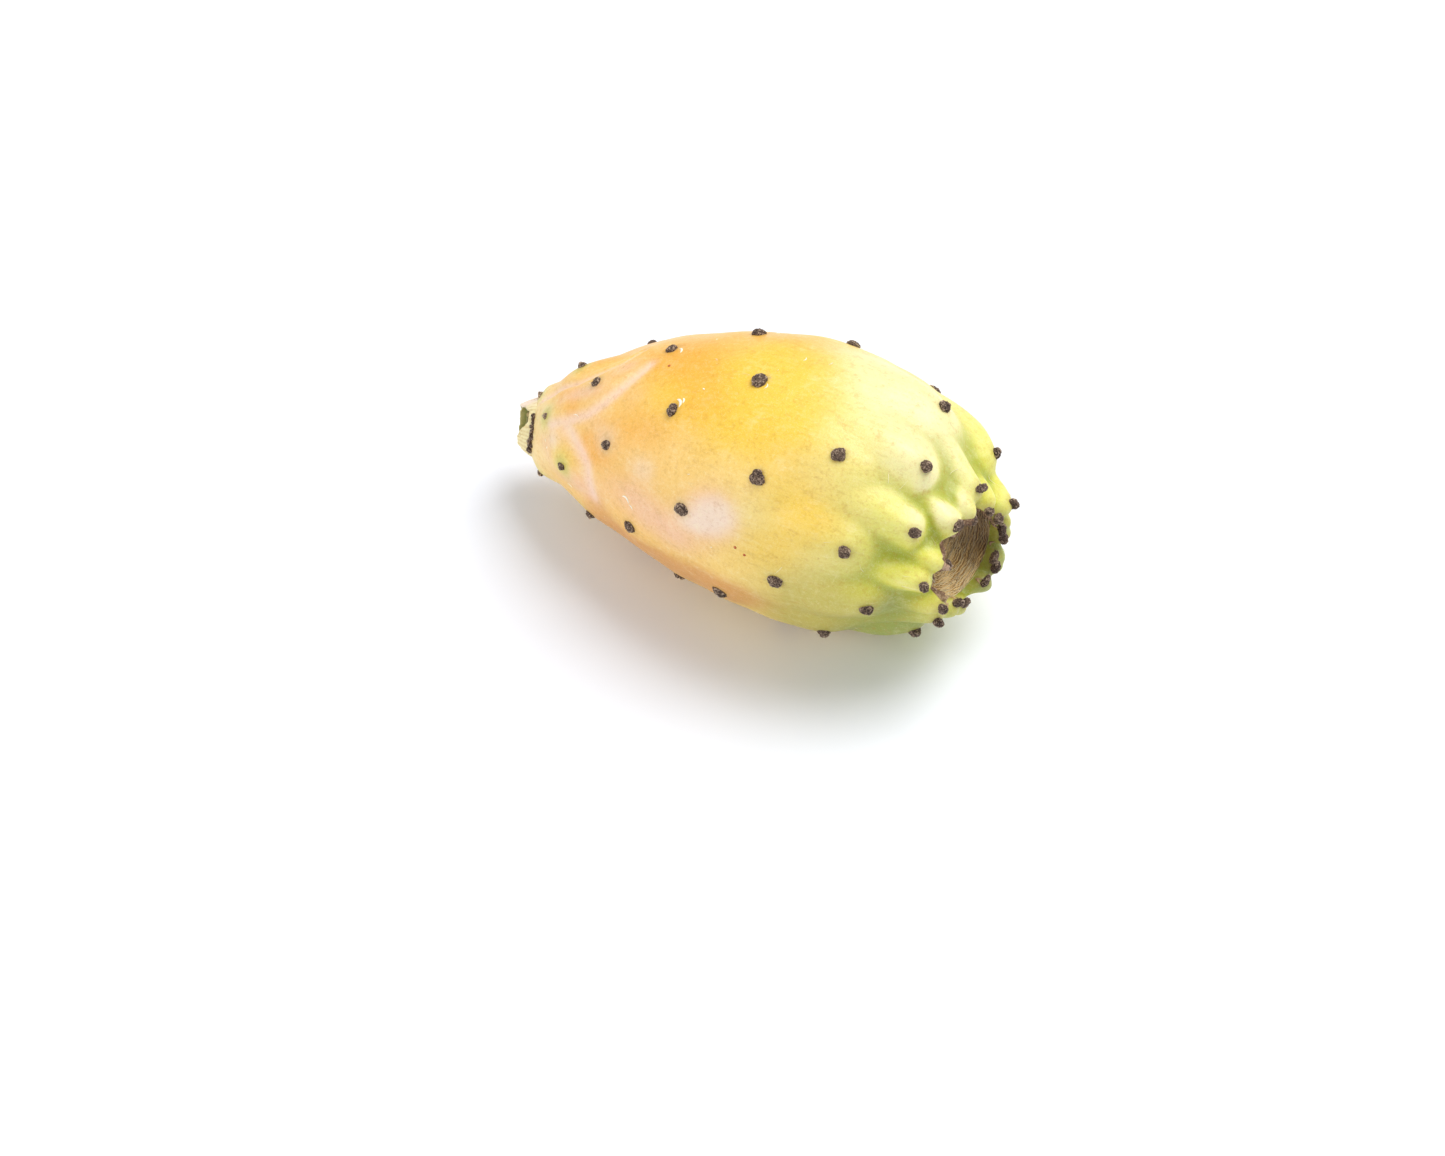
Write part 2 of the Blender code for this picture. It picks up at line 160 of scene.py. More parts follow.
# Where patches of colour lie on the skin: station, angle in degrees, reach in stations and in
# degrees, strength. Most are ripening colours; some are partly or wholly painted light and shade,
# as said at each.
SKIN_PATCHES = {
    "orange": (
        (0.37, -3, 0.07, 13, 1.0), (0.46, 22, 0.05, 10, 0.5), (0.52, -30, 0.10, 10, 0.6),
        (0.24, 58, 0.04, 9, 0.6), (0.76, 43, 0.045, 8, 0.15), (0.66, 40, 0.05, 8, 0.2),
        (0.13, -22, 0.07, 12, 0.9), (0.09, 14, 0.04, 10, 0.6), (0.34, 40, 0.07, 8, 0.5),
        (0.15, 30, 0.02, 8, 0.6), (0.20, 56, 0.02, 7, 0.7), (0.08, 50, 0.02, 7, 0.4),
        (0.48, -110, 0.14, 26, 0.9), (0.30, 176, 0.12, 22, 0.8), (0.66, 172, 0.10, 16, 0.6),
    ),
    "gold": (
        (0.47, 10, 0.12, 20, 1.0), (0.60, 22, 0.09, 16, 0.7), (0.62, -14, 0.08, 14, 0.6),
        (0.62, -90, 0.14, 30, 0.9), (0.50, 150, 0.14, 24, 0.7), (0.74, 54, 0.06, 9, 0.7),
        (0.68, 74, 0.06, 10, 0.6), (0.20, -12, 0.05, 8, 0.6), (0.14, 66, 0.05, 9, 0.5),
        (0.84, 2, 0.03, 8, 0.3),
    ),
    # Amber: partly the skin's own amber, partly painted shade along its lower side
    "amber": (
        (0.26, 114, 0.08, 10, 0.8), (0.42, 113, 0.10, 9, 1.0), (0.58, 108, 0.09, 8, 0.8),
        (0.22, 92, 0.03, 9, 0.5), (0.40, -150, 0.14, 22, 0.7),
    ),
    "pink": (
        (0.17, 17, 0.05, 6, 0.7), (0.25, 2, 0.03, 6, 0.6), (0.17, 86, 0.05, 10, 0.7),
        (0.05, 26, 0.03, 9, 0.5), (0.22, 40, 0.03, 6, 0.4),
        (0.33, 74, 0.06, 10, 0.6), (0.54, 67, 0.05, 9, 0.9), (0.44, 84, 0.06, 8, 0.7),
        (0.30, 22, 0.03, 8, 0.3), (0.26, -70, 0.08, 22, 0.9), (0.56, -170, 0.10, 18, 0.7),
        (0.05, 64, 0.03, 16, 0.5),
    ),
    # Cream: partly waxy bloom, partly a painted highlight on the top of the fruit
    "cream": (
        (0.80, -14, 0.09, 16, 1.0), (0.72, -34, 0.10, 12, 0.7), (0.86, 14, 0.05, 10, 0.6),
        (0.62, 62, 0.05, 8, 0.4), (0.76, -100, 0.08, 26, 0.5),
    ),
    # Butter: pale yellow of the crown, partly its own colour, partly painted highlight
    "butter": (
        (0.94, 6, 0.03, 12, 0.9), (0.925, 24, 0.025, 14, 1.0), (0.90, -30, 0.04, 16, 0.5),
        (0.85, 18, 0.03, 12, 0.3),
    ),
    # Blush: pinkish white waxy bloom, partly a painted reflection of a lamp
    "blush": (
        (0.55, 67, 0.035, 6, 1.0), (0.49, 74, 0.04, 5, 0.6), (0.26, 48, 0.03, 7, 0.5),
        (0.10, 56, 0.03, 9, 0.6), (0.36, 58, 0.03, 6, 0.5), (0.48, -130, 0.06, 12, 0.6),
    ),
    # Olive: painted shade, mostly on the lower side
    "olive": (
        (0.70, 92, 0.07, 10, 0.35), (0.80, 98, 0.08, 14, 0.45), (0.74, 122, 0.10, 14, 0.8),
        (0.82, 72, 0.05, 9, 0.25), (0.92, 112, 0.05, 16, 0.5),
        (0.84, -150, 0.08, 26, 0.4), (0.98, -22, 0.02, 12, 0.5),
    ),
    # Moss: painted shade in green, on the lower side of the crown and round its back
    "moss": (
        (0.90, 106, 0.03, 10, 0.6), (0.90, 138, 0.07, 18, 0.8), (0.78, 140, 0.08, 12, 0.4),
        (0.93, -160, 0.05, 30, 0.6), (0.99, -90, 0.02, 40, 0.5), (0.99, -150, 0.02, 30, 0.6),
    ),
}
LIME_FROM = 0.76
LIME_LEAN = 0.05
LIME_LEAN_TOWARD = math.radians(-18)
LIME_SPAN = 0.17


def smooth(low, high, value):
    """Goes from 0 to 1 as the value goes from low to high, with no corner at either end."""
    share = np.clip((value - low) / (high - low), 0, 1)
    return share * share * (3 - 2 * share)


def held_below(value, limit, softness):
    """Keeps a value below a limit, which it nears along a soft curve."""
    return limit - softness * math.log1p(math.exp((limit - value) / softness))


def skin_line(station):
    """Distance along the axis and radius at a station: a smooth curve through the listed points."""
    knots = np.array(SKIN_LINE[::-1])
    stations, places = knots[:, 0], knots[:, 1:] * MM
    slopes = np.gradient(places, stations, axis=0)
    station = np.asarray(station, float)
    low = np.clip(np.searchsorted(stations, station) - 1, 0, len(stations) - 2)
    span = stations[low + 1] - stations[low]
    share = ((station - stations[low]) / span)[..., None]
    span = span[..., None]
    return (
        (1 + 2 * share) * (1 - share) ** 2 * places[low]
        + share * (1 - share) ** 2 * span * slopes[low]
        + share**2 * (3 - 2 * share) * places[low + 1]
        - share**2 * (1 - share) * span * slopes[low + 1]
    )


def skin_length():
    """Stations of the skin from stem to scar, and the length of skin from the stem to each."""
    stations = np.linspace(0, 1, 401)
    steps = np.diff(skin_line(stations), axis=0)
    return stations, np.concatenate([[0], np.cumsum(np.hypot(steps[:, 0], steps[:, 1]))])


def list_areoles():
    """Each areole's station, angle, place along the skin, and its mound's and knob's sizes."""
    draw = random.Random(7)
    sizes = np.array(AREOLE_SIZES)
    spots = [(station, math.radians(angle)) for station, angle in STRAY_AREOLES]
    for n in range(FIRST_AREOLE, LAST_AREOLE + 1):
        if n in MISSING_AREOLES:
            continue
        sway = STATION_SWAY * math.sin(2 * math.pi * (n - SWAY_START) / SWAY_PERIOD)
        station = STATION_START + STATION_STEP * n + STATION_EASING * n * n + sway
        angle = SPIRAL_START + SPIRAL_STEP * n
        angle += ANGLE_SWAY * math.cos(2 * angle + ANGLE_SWAY_TURN)
        station -= STATION_SLANT * math.cos(angle - SLANT_TOWARD)
        step, turn = OFF_THE_LINE.get(n, (0, 0))
        station = held_below(station + step, NEAREST_SCAR, SCAR_SOFTNESS)
        spots.append((station, angle + math.radians(turn)))
    table = []
    for station, angle in spots:
        along = np.interp(station, *skin_length())
        size = [np.interp(station, sizes[:, 0], column) * MM for column in sizes[:, 1:].T]
        size = [value * (1 + draw.uniform(-JITTER, JITTER)) for value in size]
        table.append((station, angle, along, *size))
    return table


def grown_place(along, radius, angle, scar, stem):
    """World place of a point at a distance along the axis, a radius and an angle. Scar and stem say
    how far the point shares the tilt of the flower scar and of the torn stem end, from 0 to 1."""
    along = along - math.tan(SCAR_TILT) * radius * np.cos(angle - SCAR_TILT_TOWARD) * scar
    along = along + math.tan(STEM_TILT) * radius * np.cos(angle - STEM_TILT_TOWARD) * stem
    shift = SCAR_SHIFT * scar
    squeeze = SCAR_OVAL * scar * radius * np.cos(angle - SCAR_OVAL_TOWARD)
    up = radius * np.cos(angle) + shift * math.cos(SCAR_SHIFT_TOWARD)
    up = up - squeeze * math.cos(SCAR_OVAL_TOWARD)
    front = radius * np.sin(angle) + shift * math.sin(SCAR_SHIFT_TOWARD)
    front = front - squeeze * math.sin(SCAR_OVAL_TOWARD)

    share = along / AXIS_LENGTH
    bulge = BEND * 4 * share * (1 - share)
    lean = BEND / AXIS_LENGTH * 4 * (1 - 2 * share)
    length = np.sqrt(1 + lean * lean)
    outward = up * math.cos(BEND_TOWARD) + front * math.sin(BEND_TOWARD)
    across = front * math.cos(BEND_TOWARD) - up * math.sin(BEND_TOWARD)
    along = along - outward * lean / length
    outward = bulge + outward / length
    up = outward * math.cos(BEND_TOWARD) - across * math.sin(BEND_TOWARD)
    front = outward * math.sin(BEND_TOWARD) + across * math.cos(BEND_TOWARD)

    x = along * math.cos(PITCH) - up * math.sin(PITCH)
    z = along * math.sin(PITCH) + up * math.cos(PITCH)
    return np.stack([x, -front, z], -1) + AXIS_START


def skin_place(station, angle, rise):
    """World place of a point of the skin that is raised by a height square to the skin line."""
    station, angle, rise = np.broadcast_arrays(station, angle, rise)
    step = 0.0005
    place = skin_line(station)
    slope = skin_line(np.minimum(station + step, 1.2)) - skin_line(np.maximum(station - step, -0.1))
    slope /= np.maximum(np.hypot(slope[..., 0], slope[..., 1]), 1e-9)[..., None]
    along = place[..., 0] - slope[..., 1] * rise
    radius = place[..., 1] + slope[..., 0] * rise
    scar = smooth(SCAR_TILT_FROM, SCAR_TILT_FULL, station)
    shifted = smooth(SCAR_TILT_FROM, SCAR_SHIFT_FULL, station)
    place = grown_place(along, radius, angle, scar, 1 - smooth(0, STEM_TILT_STOPS, station))
    slide = grown_place(along, radius, angle, shifted, 0) - grown_place(along, radius, angle, scar, 0)
    return place + slide * (station > 0.5)[..., None]


def mounds(station, angle):
    """Height of the skin over its turned shape: the mounds under the areoles, with valleys between."""
    radius = skin_line(station)[..., 1]
    along = np.interp(station, *skin_length())
    sizes = np.array(AREOLE_SIZES)
    fade = smooth(-0.005, 0.03, station) * (1 - smooth(0.995, 1.02, station))
    height = 0
    for _, spot_angle, spot_along, rise, behind, ahead, sideways, _, _ in areoles:
        offset = along - spot_along
        reach = np.where(offset < 0, behind, ahead)
        turn = ((angle - spot_angle + math.pi) % (2 * math.pi) - math.pi) * radius
        mound = rise / MM * np.exp(-0.5 * ((offset / reach) ** 2 + (turn / sideways) ** 2))
        height = height + mound**MOUND_EDGE
    height = height ** (1 / MOUND_EDGE) - MOUND_SINK * np.interp(station, sizes[:, 0], sizes[:, 1])
    return height * MM * fade


def on_skin(station, angle, lift=0.0):
    """World place of a point at a height over the grown skin, mounds and all."""
    return skin_place(station, angle, mounds(station, angle) + lift)


def round_grid(rows, segments):
    """A value for each ring and an angle for each point round, as two arrays of rings by points."""
    return np.meshgrid(rows, np.linspace(0, 2 * math.pi, segments, endpoint=False), indexing="ij")


def turned_grid(spans, segments):
    """Stations and angles of the points of a turned shape. Each span of stations has its own count."""
    stations = [
        start + (end - start) * step / count for start, end, count in spans for step in range(count)
    ]
    return round_grid([*stations, spans[-1][1]], segments)


def new_piece(name, points, edges=(), faces=(), **fields):
    """An object of points, edges and faces. Each field becomes an attribute of its points."""
    mesh = bpy.data.meshes.new(name)
    mesh.from_pydata(points, edges, faces)
    for field, values in fields.items():
        values = np.asarray(values, np.float32)
        kind, part = ("FLOAT_VECTOR", "vector") if values.ndim == 2 else ("FLOAT", "value")
        mesh.attributes.new(field, kind, "POINT").data.foreach_set(part, values.ravel())
    made = bpy.data.objects.new(name, mesh)
    bpy.context.scene.collection.objects.link(made)
    return made


def closed_mesh(name, places, poles=True, **fields):
    """An object from rings of points. It closes on a pole at each end, or else round on itself, and
    each field becomes an attribute of its points."""
    rings, around = places.shape[:2]
    first = 1 if poles else 0
    last = rings - 1 if poles else rings

    def listed(values):
        body = values[first:last].reshape(-1, *values.shape[2:])
        return np.concatenate([values[:1, 0], body, values[-1:, 0]]) if poles else body

    index = np.arange((last - first) * around).reshape(-1, around) + first
    if not poles:
        index = np.vstack([index, index[:1]])
    onward = np.roll(index, -1, axis=1)
    faces = np.stack([index[:-1], index[1:], onward[1:], onward[:-1]], -1).reshape(-1, 4).tolist()
    if poles:
        end = (last - first) * around + 1
        faces += [(0, a, b) for a, b in zip(index[0].tolist(), onward[0].tolist())]
        faces += [(end, b, a) for a, b in zip(index[-1].tolist(), onward[-1].tolist())]
    fields = {field: listed(values) for field, values in fields.items()}
    made = new_piece(name, listed(places), [], faces, **fields)
    made.data.shade_smooth()
    return made


def patch_share(station, angle, patches):
    """How much of one patch colour a point of the skin has, from 0 to 1."""
    amount = np.zeros(station.shape)
    for patch_station, patch_angle, along, around, strength in patches:
        turn = (np.degrees(angle) - patch_angle + 180) % 360 - 180
        apart = ((station - patch_station) / along) ** 2 + (turn / around) ** 2
        amount += strength * np.exp(-0.5 * apart)
    return np.clip(amount, 0, 1)


def distance_to(points, places):
    """Distance from each place to the nearest of some points."""
    nearest = np.full(places.shape[:-1], 1.0)
    for point in points:
        nearest = np.minimum(nearest, np.linalg.norm(places - point, axis=-1))
    return nearest


areoles = list_areoles()
station, angle = turned_grid(SKIN_RINGS, SKIN_SEGMENTS)
rise = mounds(station, angle)
under = UNDER_SCAR * smooth(1.0, 1.03, station)
places = skin_place(station, angle, rise)
crease_mark = np.zeros(station.shape)
for line, depth, width in CREASES:
    line = np.array(line, float)
    share = np.linspace(0, 1, 60)
    knots = np.linspace(0, 1, len(line))
    line_station, line_angle = (np.interp(share, knots, line[:, k]) for k in (0, 1))
    line_angle = np.radians(line_angle)
    apart = distance_to(on_skin(line_station, line_angle), places) / (width * MM)
    swell = CREASE_SWELL * np.exp(-(((apart - CREASE_SWELL_OUT) / CREASE_SWELL_REACH) ** 2))
    rise = rise + depth * MM * (swell - np.exp(-(apart**2)))
    crease_mark = np.maximum(crease_mark, np.exp(-((apart * 0.8) ** 2)))
even = smooth(0.05, 0.2, station) * (1 - smooth(0.9, 0.98, station))
for high, along, around, start, fades, fades_from in SKIN_WAVES:
    wave = np.sin(along * station * math.pi + around * angle + start) * np.cos(fades * angle + fades_from)
    rise = rise + high * MM * wave * even
places = skin_place(station, angle, rise - under)
places[..., 2] = np.maximum(places[..., 2], 0)
feet = [on_skin(spot[0], spot[1]) for spot in areoles]
spread = distance_to(feet, places) / MM
lime_start = LIME_FROM + LIME_LEAN * np.cos(angle - LIME_LEAN_TOWARD)
fields = {name: patch_share(station, angle, patches) for name, patches in SKIN_PATCHES.items()}
fields["station"] = station
fields["lime"] = smooth(lime_start, lime_start + LIME_SPAN, station)
fields["ridge"] = np.clip(0.5 + mounds(station, angle) / (2.6 * MM), 0, 1)
# Where shade is painted round the foot of each areole
fields["foot"] = np.exp(-((spread / 1.7) ** 4))
fields["halo"] = np.exp(-((spread / 2.2) ** 2)) * (1 - smooth(0.15, 0.19, station))
fields["crease"] = crease_mark
skin = closed_mesh("skin", places, **fields)


class Wire:
    """A socket of a node tree. Sums and products of wires and numbers add Math nodes to the tree."""

    def __init__(self, tree, socket=None):
        self.tree = tree
        self.socket = socket

    def node(self, kind, settings=None, values=None, output=0):
        """Adds a node of a type: its settings first, then the values or wires of its sockets."""
        made = self.tree.nodes.new(kind)
        for name, value in (settings or {}).items():
            if name == "stops":
                ramp = made.color_ramp
                while len(ramp.elements) < len(value):
                    ramp.elements.new(0.5)
                for element, (position, colour) in zip(ramp.elements, value):
                    element.position = position
                    element.color = colour
            else:
                setattr(made, name, value)
        for name, value in (values or {}).items():
            if isinstance(name, int):
                socket = made.inputs[name]
            else:
                socket = next(s for s in made.inputs if s.name == name and s.enabled)
            if isinstance(value, Wire):
                self.tree.links.new(value.socket, socket)
            else:
                socket.default_value = value
        if isinstance(output, int):
            found = [s for s in made.outputs if s.enabled][output] if made.outputs else None
        else:
            found = made.outputs[output]
        return Wire(self.tree, found)

    def other(self, output):
        """Another output of the same node."""
        return Wire(self.tree, self.socket.node.outputs[output])

    def math(self, operation, *values):
        return self.node("ShaderNodeMath", {"operation": operation}, dict(enumerate(values)))

    def __add__(self, value):
        return self.math("ADD", self, value)

    __radd__ = __add__

    def __sub__(self, value):
        return self.math("SUBTRACT", self, value)

    def __rsub__(self, value):
        return self.math("SUBTRACT", value, self)

    def __mul__(self, value):
        return self.math("MULTIPLY", self, value)

    __rmul__ = __mul__

    def step(self, low, high, start=0.0, end=1.0):
        """Goes from start to end as the value goes from low to high, with soft corners."""
        ends = {"Value": self, "From Min": low, "From Max": high, "To Min": start, "To Max": end}
        return self.node("ShaderNodeMapRange", {"interpolation_type": "SMOOTHSTEP"}, ends)

    def plain(self, code):
        """One colour all over, to be tinted."""
        made = self.node("ShaderNodeRGB")
        made.socket.default_value = paint(code)
        return made

    def tinted(self, colour, share):
        """This colour with a share of another one in it, which is a wire or a code for paint."""
        colour = paint(colour) if isinstance(colour, str) else colour
        values = {"Factor": share, "A": self, "B": colour}
        return self.node("ShaderNodeMix", {"data_type": "RGBA"}, values)

    def here(self):
        """The place on the piece."""
        return self.node("ShaderNodeTexCoord", output="Object")

    def field(self, name):
        """An attribute of the mesh, as a number."""
        return self.node("ShaderNodeAttribute", {"attribute_name": name}, output="Fac")

    def noise(self, place, scale, detail=2.0, roughness=0.5, distortion=0.0):
        """Cloudy noise from 0 to 1 at a place, with its scale in patches to the metre."""
        values = {
            "Vector": place, "Scale": scale, "Detail": detail, "Roughness": roughness,
            "Distortion": distortion,
        }
        return self.node("ShaderNodeTexNoise", {}, values)

    def bump(self, height, strength, depth=0.1):
        """The fine relief of a finish, from its height, with its depth in mm."""
        values = {"Strength": strength, "Distance": depth * MM, "Height": height}
        return self.node("ShaderNodeBump", {}, values, "Normal")


def paint(code):
    """A colour as the shader takes it, from a colour as a screen shows it, written rrggbb."""
    parts = [int(code[k:k + 2], 16) / 255 for k in (0, 2, 4)]
    return (*(c / 12.92 if c <= 0.04045 else ((c + 0.055) / 1.055) ** 2.4 for c in parts), 1.0)


def new_finish(name):
    """An empty material, and the wire that adds nodes to it."""
    made = bpy.data.materials.new(name)
    made.use_nodes = True
    made.node_tree.nodes.clear()
    return made, Wire(made.node_tree)


def close_finish(wire, **values):
    """Ends a material in one Principled shader with these values or wires in its sockets."""
    named = {name.replace("_", " "): value for name, value in values.items()}
    shader = wire.node("ShaderNodeBsdfPrincipled", {}, named)
    wire.node("ShaderNodeOutputMaterial", {}, {"Surface": shader})


skin_finish, wire = new_finish("ripening cactus skin")
here = wire.here()
drift = wire.noise(here, 70, 3)
cloud = wire.noise(here, 190, 4, 0.6)
grain = wire.noise(here, 1700, 3, 0.65)
pores = wire.node(
    "ShaderNodeTexVoronoi", {"feature": "F1"}, {"Vector": here, "Scale": 2300.0}, "Distance"
)
loose = (drift - 0.5) * 0.5 + (cloud - 0.5) * 0.6

stops = (
    (0.00, "f3d594"), (0.10, "f3c670"), (0.30, "f2bf62"), (0.48, "f2c768"), (0.62, "f1cf70"),
    (0.75, "eedc80"), (0.88, "e8e27c"), (1.00, "dbdc6c"),
)
ripe = wire.field("station") + loose * 0.10
colour = wire.node(
    "ShaderNodeValToRGB", {"stops": [(at, paint(code)) for at, code in stops]}, {"Fac": ripe}
)
# Green in the crown's valleys, pale yellow on its crests: partly its colour, partly painted shade and
# highlight
crown = wire.plain("a5b41c")
ridge = wire.field("ridge") + (cloud - 0.5) * 0.2
crown = crown.tinted("dcda50", ridge.step(0.10, 0.50))
crown = crown.tinted("ede878", ridge.step(0.45, 0.90))


def patched(colour, code, share):
    """A colour of the skin with patches of another laid over it, cloudy at their edges."""
    return colour.tinted(code, (share + share * loose).step(0.05, 0.95) * 0.85)


# The amber patches are partly the skin's own colour and partly painted shade on its lower side.
for name, code in (("gold", "f2c83a"), ("orange", "f1ab3b"), ("amber", "d5924a"), ("pink", "efbf9f")):
    colour = patched(colour, code, wire.field(name))
colour = colour.tinted(crown, (wire.field("lime") + loose * 0.3).step(0.05, 1.0) * 0.92)
# Cream patches: waxy bloom and painted highlight; blush patches: waxy bloom and a painted reflection of a
# lamp.
for name, code in (("cream", "f4ecb0"), ("blush", "f2dcc8")):
    colour = patched(colour, code, wire.field(name))
# Pale yellow on the crests of the crown's mounds: partly the skin's colour, partly painted highlight.
colour = patched(colour, "fdf6bc", wire.field("butter") * ridge.step(0.15, 0.60))
# Olive and moss patches are painted shade.
for name, code in (("olive", "b4a83e"), ("moss", "86983e")):
    colour = patched(colour, code, wire.field(name))
colour = colour.tinted("ccd464", wire.field("halo") * 0.75)
# Pale pink along the creases: partly the skin's own pale line, partly painted highlight.
colour = colour.tinted("f7d6c2", wire.field("crease") * 0.75)
# Darker olive green in the crown's valleys: partly the skin's colour, partly painted shade.
valley_green_and_shade = ridge.step(0.50, 0.0) * ripe.step(0.68, 0.86)
colour = colour.tinted("a3a92c", valley_green_and_shade * 0.5)
mottle = wire.noise(here, 520, 4, 0.7)
colour = colour.tinted("fbf1c4", (mottle + (cloud - 0.5) * 0.4).step(0.52, 0.78) * 0.20)
colour = colour.tinted("c08a2e", (mottle + (grain - 0.5) * 0.4).step(0.48, 0.28) * 0.22)
lengthwise = wire.node(
    "ShaderNodeVectorMath", {"operation": "MULTIPLY"}, {0: here, 1: (0.18, 1.0, 1.0)}
)
streak = wire.noise(lengthwise, 1300, 3, 0.7)
colour = colour.tinted("fcf4cc", (streak + (cloud - 0.5) * 0.3).step(0.52, 0.80) * 0.16)
colour = colour.tinted("b3872c", (streak + (drift - 0.5) * 0.3).step(0.46, 0.25) * 0.20)
fine = wire.noise(here, 5200, 2, 0.8)
colour = colour.tinted("fdf3cc", (fine + (grain - 0.5) * 0.5).step(0.52, 0.72) * 0.20)
colour = colour.tinted("c9903a", (fine + (grain - 0.5) * 0.5).step(0.46, 0.28) * 0.24)
speckle = (grain - 0.5) * 0.8 + pores.step(0.5, 0.0) * (cloud - 0.3) * 0.8
colour = colour.tinted("fdf0c8", speckle.step(0.05, 0.6) * 0.30)
colour = colour.tinted("b0762e", (grain + cloud).step(0.85, 0.55) * 0.18)
# Darker olive brown round the foot of each areole: painted shade where the knob meets the skin.
colour = colour.tinted("a88a3c", wire.field("foot") * 0.25)
relief = grain * 0.7 + fine * 0.6 + pores * 0.5 + mottle * 1.2 + streak * 0.5
bump = wire.bump(relief, 0.55, 0.09)
close_finish(
    wire, Base_Color=colour, Roughness=0.40 + (cloud - 0.5) * 0.25, Normal=bump,
    Subsurface_Weight=0.12, Subsurface_Scale=2.5 * MM, Subsurface_Radius=(1.0, 0.55, 0.2),
)
skin.data.materials.append(skin_finish)
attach(skin, "root")
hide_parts("prickly_pear_fruit")

# The areoles are small felted cushions in the skin, set with short barbed bristles. They are dry
# brown felt, grown on the tops of the mounds, and crowd into two ragged rows round the flower scar.
# Each starts as a point that knows its direction and size, and is grown from it.
KNOB_ROOT = 0.9 * MM
CROWN_LEAN = 0.35
NECK_LEAN = 0.6
CUSHION_FACETS = 4
FELT_SHARE = 0.87
# Each cushion is drawn out by up to this share of its width, and those of the crown by more
STRETCH = 0.12
CROWN_STRETCH = 0.45
# From this station on they lie along the rim of the scar
ALONG_RIM_FROM = 0.94
CUSHION_LUMPS = 0.42 * MM
CUSHION_CURLS = 0.34 * MM
BRISTLES_PER_SQUARE_METRE = 7e6
BRISTLE_LENGTH = 0.15 * MM
BRISTLE_THICKNESS = 0.03 * MM
BRISTLE_TILT = 1.5


def new_growth(name, inputs):
    """A Geometry Nodes tree with a geometry input and these named inputs, as wires."""
    tree = bpy.data.node_groups.new(name, "GeometryNodeTree")
    tree.interface.new_socket("Geometry", in_out="INPUT", socket_type="NodeSocketGeometry")
    for label, kind in inputs.items():
        tree.interface.new_socket(label, in_out="INPUT", socket_type="NodeSocket" + kind)
    tree.interface.new_socket("Geometry", in_out="OUTPUT", socket_type="NodeSocketGeometry")
    entry = tree.nodes.new("NodeGroupInput")
    return tree, Wire(tree), {s.name: Wire(tree, s) for s in entry.outputs if s.name}


def close_growth(wire, shape, finish):
    """Ends a tree: real mesh, nothing under the floor, its material set."""
    real = wire.node("GeometryNodeRealizeInstances", {}, {"Geometry": shape})
    parts = wire.node("ShaderNodeSeparateXYZ", {}, {"Vector": wire.node("GeometryNodeInputPosition")})
    level = wire.math("MAXIMUM", parts.other("Z"), 0.0)
    place = wire.node(
        "ShaderNodeCombineXYZ", {}, {"X": parts.other("X"), "Y": parts.other("Y"), "Z": level}
    )
    laid = wire.node("GeometryNodeSetPosition", {}, {"Geometry": real, "Position": place})
    done = wire.node("GeometryNodeSetMaterial", {}, {"Geometry": laid, "Material": finish})
    wire.node("NodeGroupOutput", {}, {"Geometry": done})


def grow(made, tree, **values):
    """Runs one tree on an object and keeps the result as plain mesh."""
    made.data.update()
    modifier = made.modifiers.new(tree.name, "NODES")
    modifier.node_group = tree
    named = {name.replace("_", " "): value for name, value in values.items()}
    for item in tree.interface.items_tree:
        if item.in_out == "INPUT" and item.name in named:
            modifier[item.identifier] = named[item.name]
    grown = made.evaluated_get(bpy.context.evaluated_depsgraph_get())
    mesh = bpy.data.meshes.new_from_object(grown)
    made.modifiers.clear()
    made.data = mesh
    mesh.shade_smooth()
    return made


def read(wire, name, kind="FLOAT"):
    """A named attribute of the geometry."""
    return wire.node("GeometryNodeInputNamedAttribute", {"data_type": kind}, {"Name": name})


cushion_tree, wire, given = new_growth(
    "felt cushions", {"Facets": "Int", "Lumps": "Float", "Curls": "Float", "Finish": "Material"}
)
ball = wire.node("GeometryNodeMeshIcoSphere", {}, {"Radius": 1.0, "Subdivisions": given["Facets"]})
spot = wire.node("ShaderNodeSeparateXYZ", {}, {"Vector": wire.node("GeometryNodeInputPosition")})
ball = wire.node(
    "GeometryNodeStoreNamedAttribute", {"data_type": "FLOAT", "domain": "POINT"},
    {"Geometry": ball, "Name": "up", "Value": spot.other("Z")},
)
turn = wire.node(
    "FunctionNodeAlignRotationToVector", {"axis": "Z"}, {"Vector": read(wire, "aim", "FLOAT_VECTOR")}
)
turn = wire.node(
    "FunctionNodeAlignRotationToVector", {"axis": "X", "pivot_axis": "Z"},
    {"Rotation": turn, "Vector": read(wire, "lie", "FLOAT_VECTOR")},
)
size = wire.node(
    "ShaderNodeCombineXYZ", {},
    {"X": read(wire, "long"), "Y": read(wire, "wide"), "Z": read(wire, "tall")},
)
placed = wire.node(
    "GeometryNodeInstanceOnPoints", {},
    {"Points": given["Geometry"], "Instance": ball, "Rotation": turn, "Scale": size},
)
real = wire.node("GeometryNodeRealizeInstances", {}, {"Geometry": placed})
lump = wire.noise(wire.node("GeometryNodeInputPosition"), 900.0, 1)
curl = wire.noise(wire.node("GeometryNodeInputPosition"), 1700.0, 2, 0.5, 2.6)
push = (lump - 0.5) * given["Lumps"] * 2 + (curl - 0.5) * given["Curls"] * 2
offset = wire.node(
    "ShaderNodeVectorMath", {"operation": "SCALE"},
    {"Vector": wire.node("GeometryNodeInputNormal"), "Scale": push},
)
marked = wire.node(
    "GeometryNodeStoreNamedAttribute", {"data_type": "FLOAT", "domain": "POINT"},
    {"Geometry": real, "Name": "lump", "Value": curl},
)
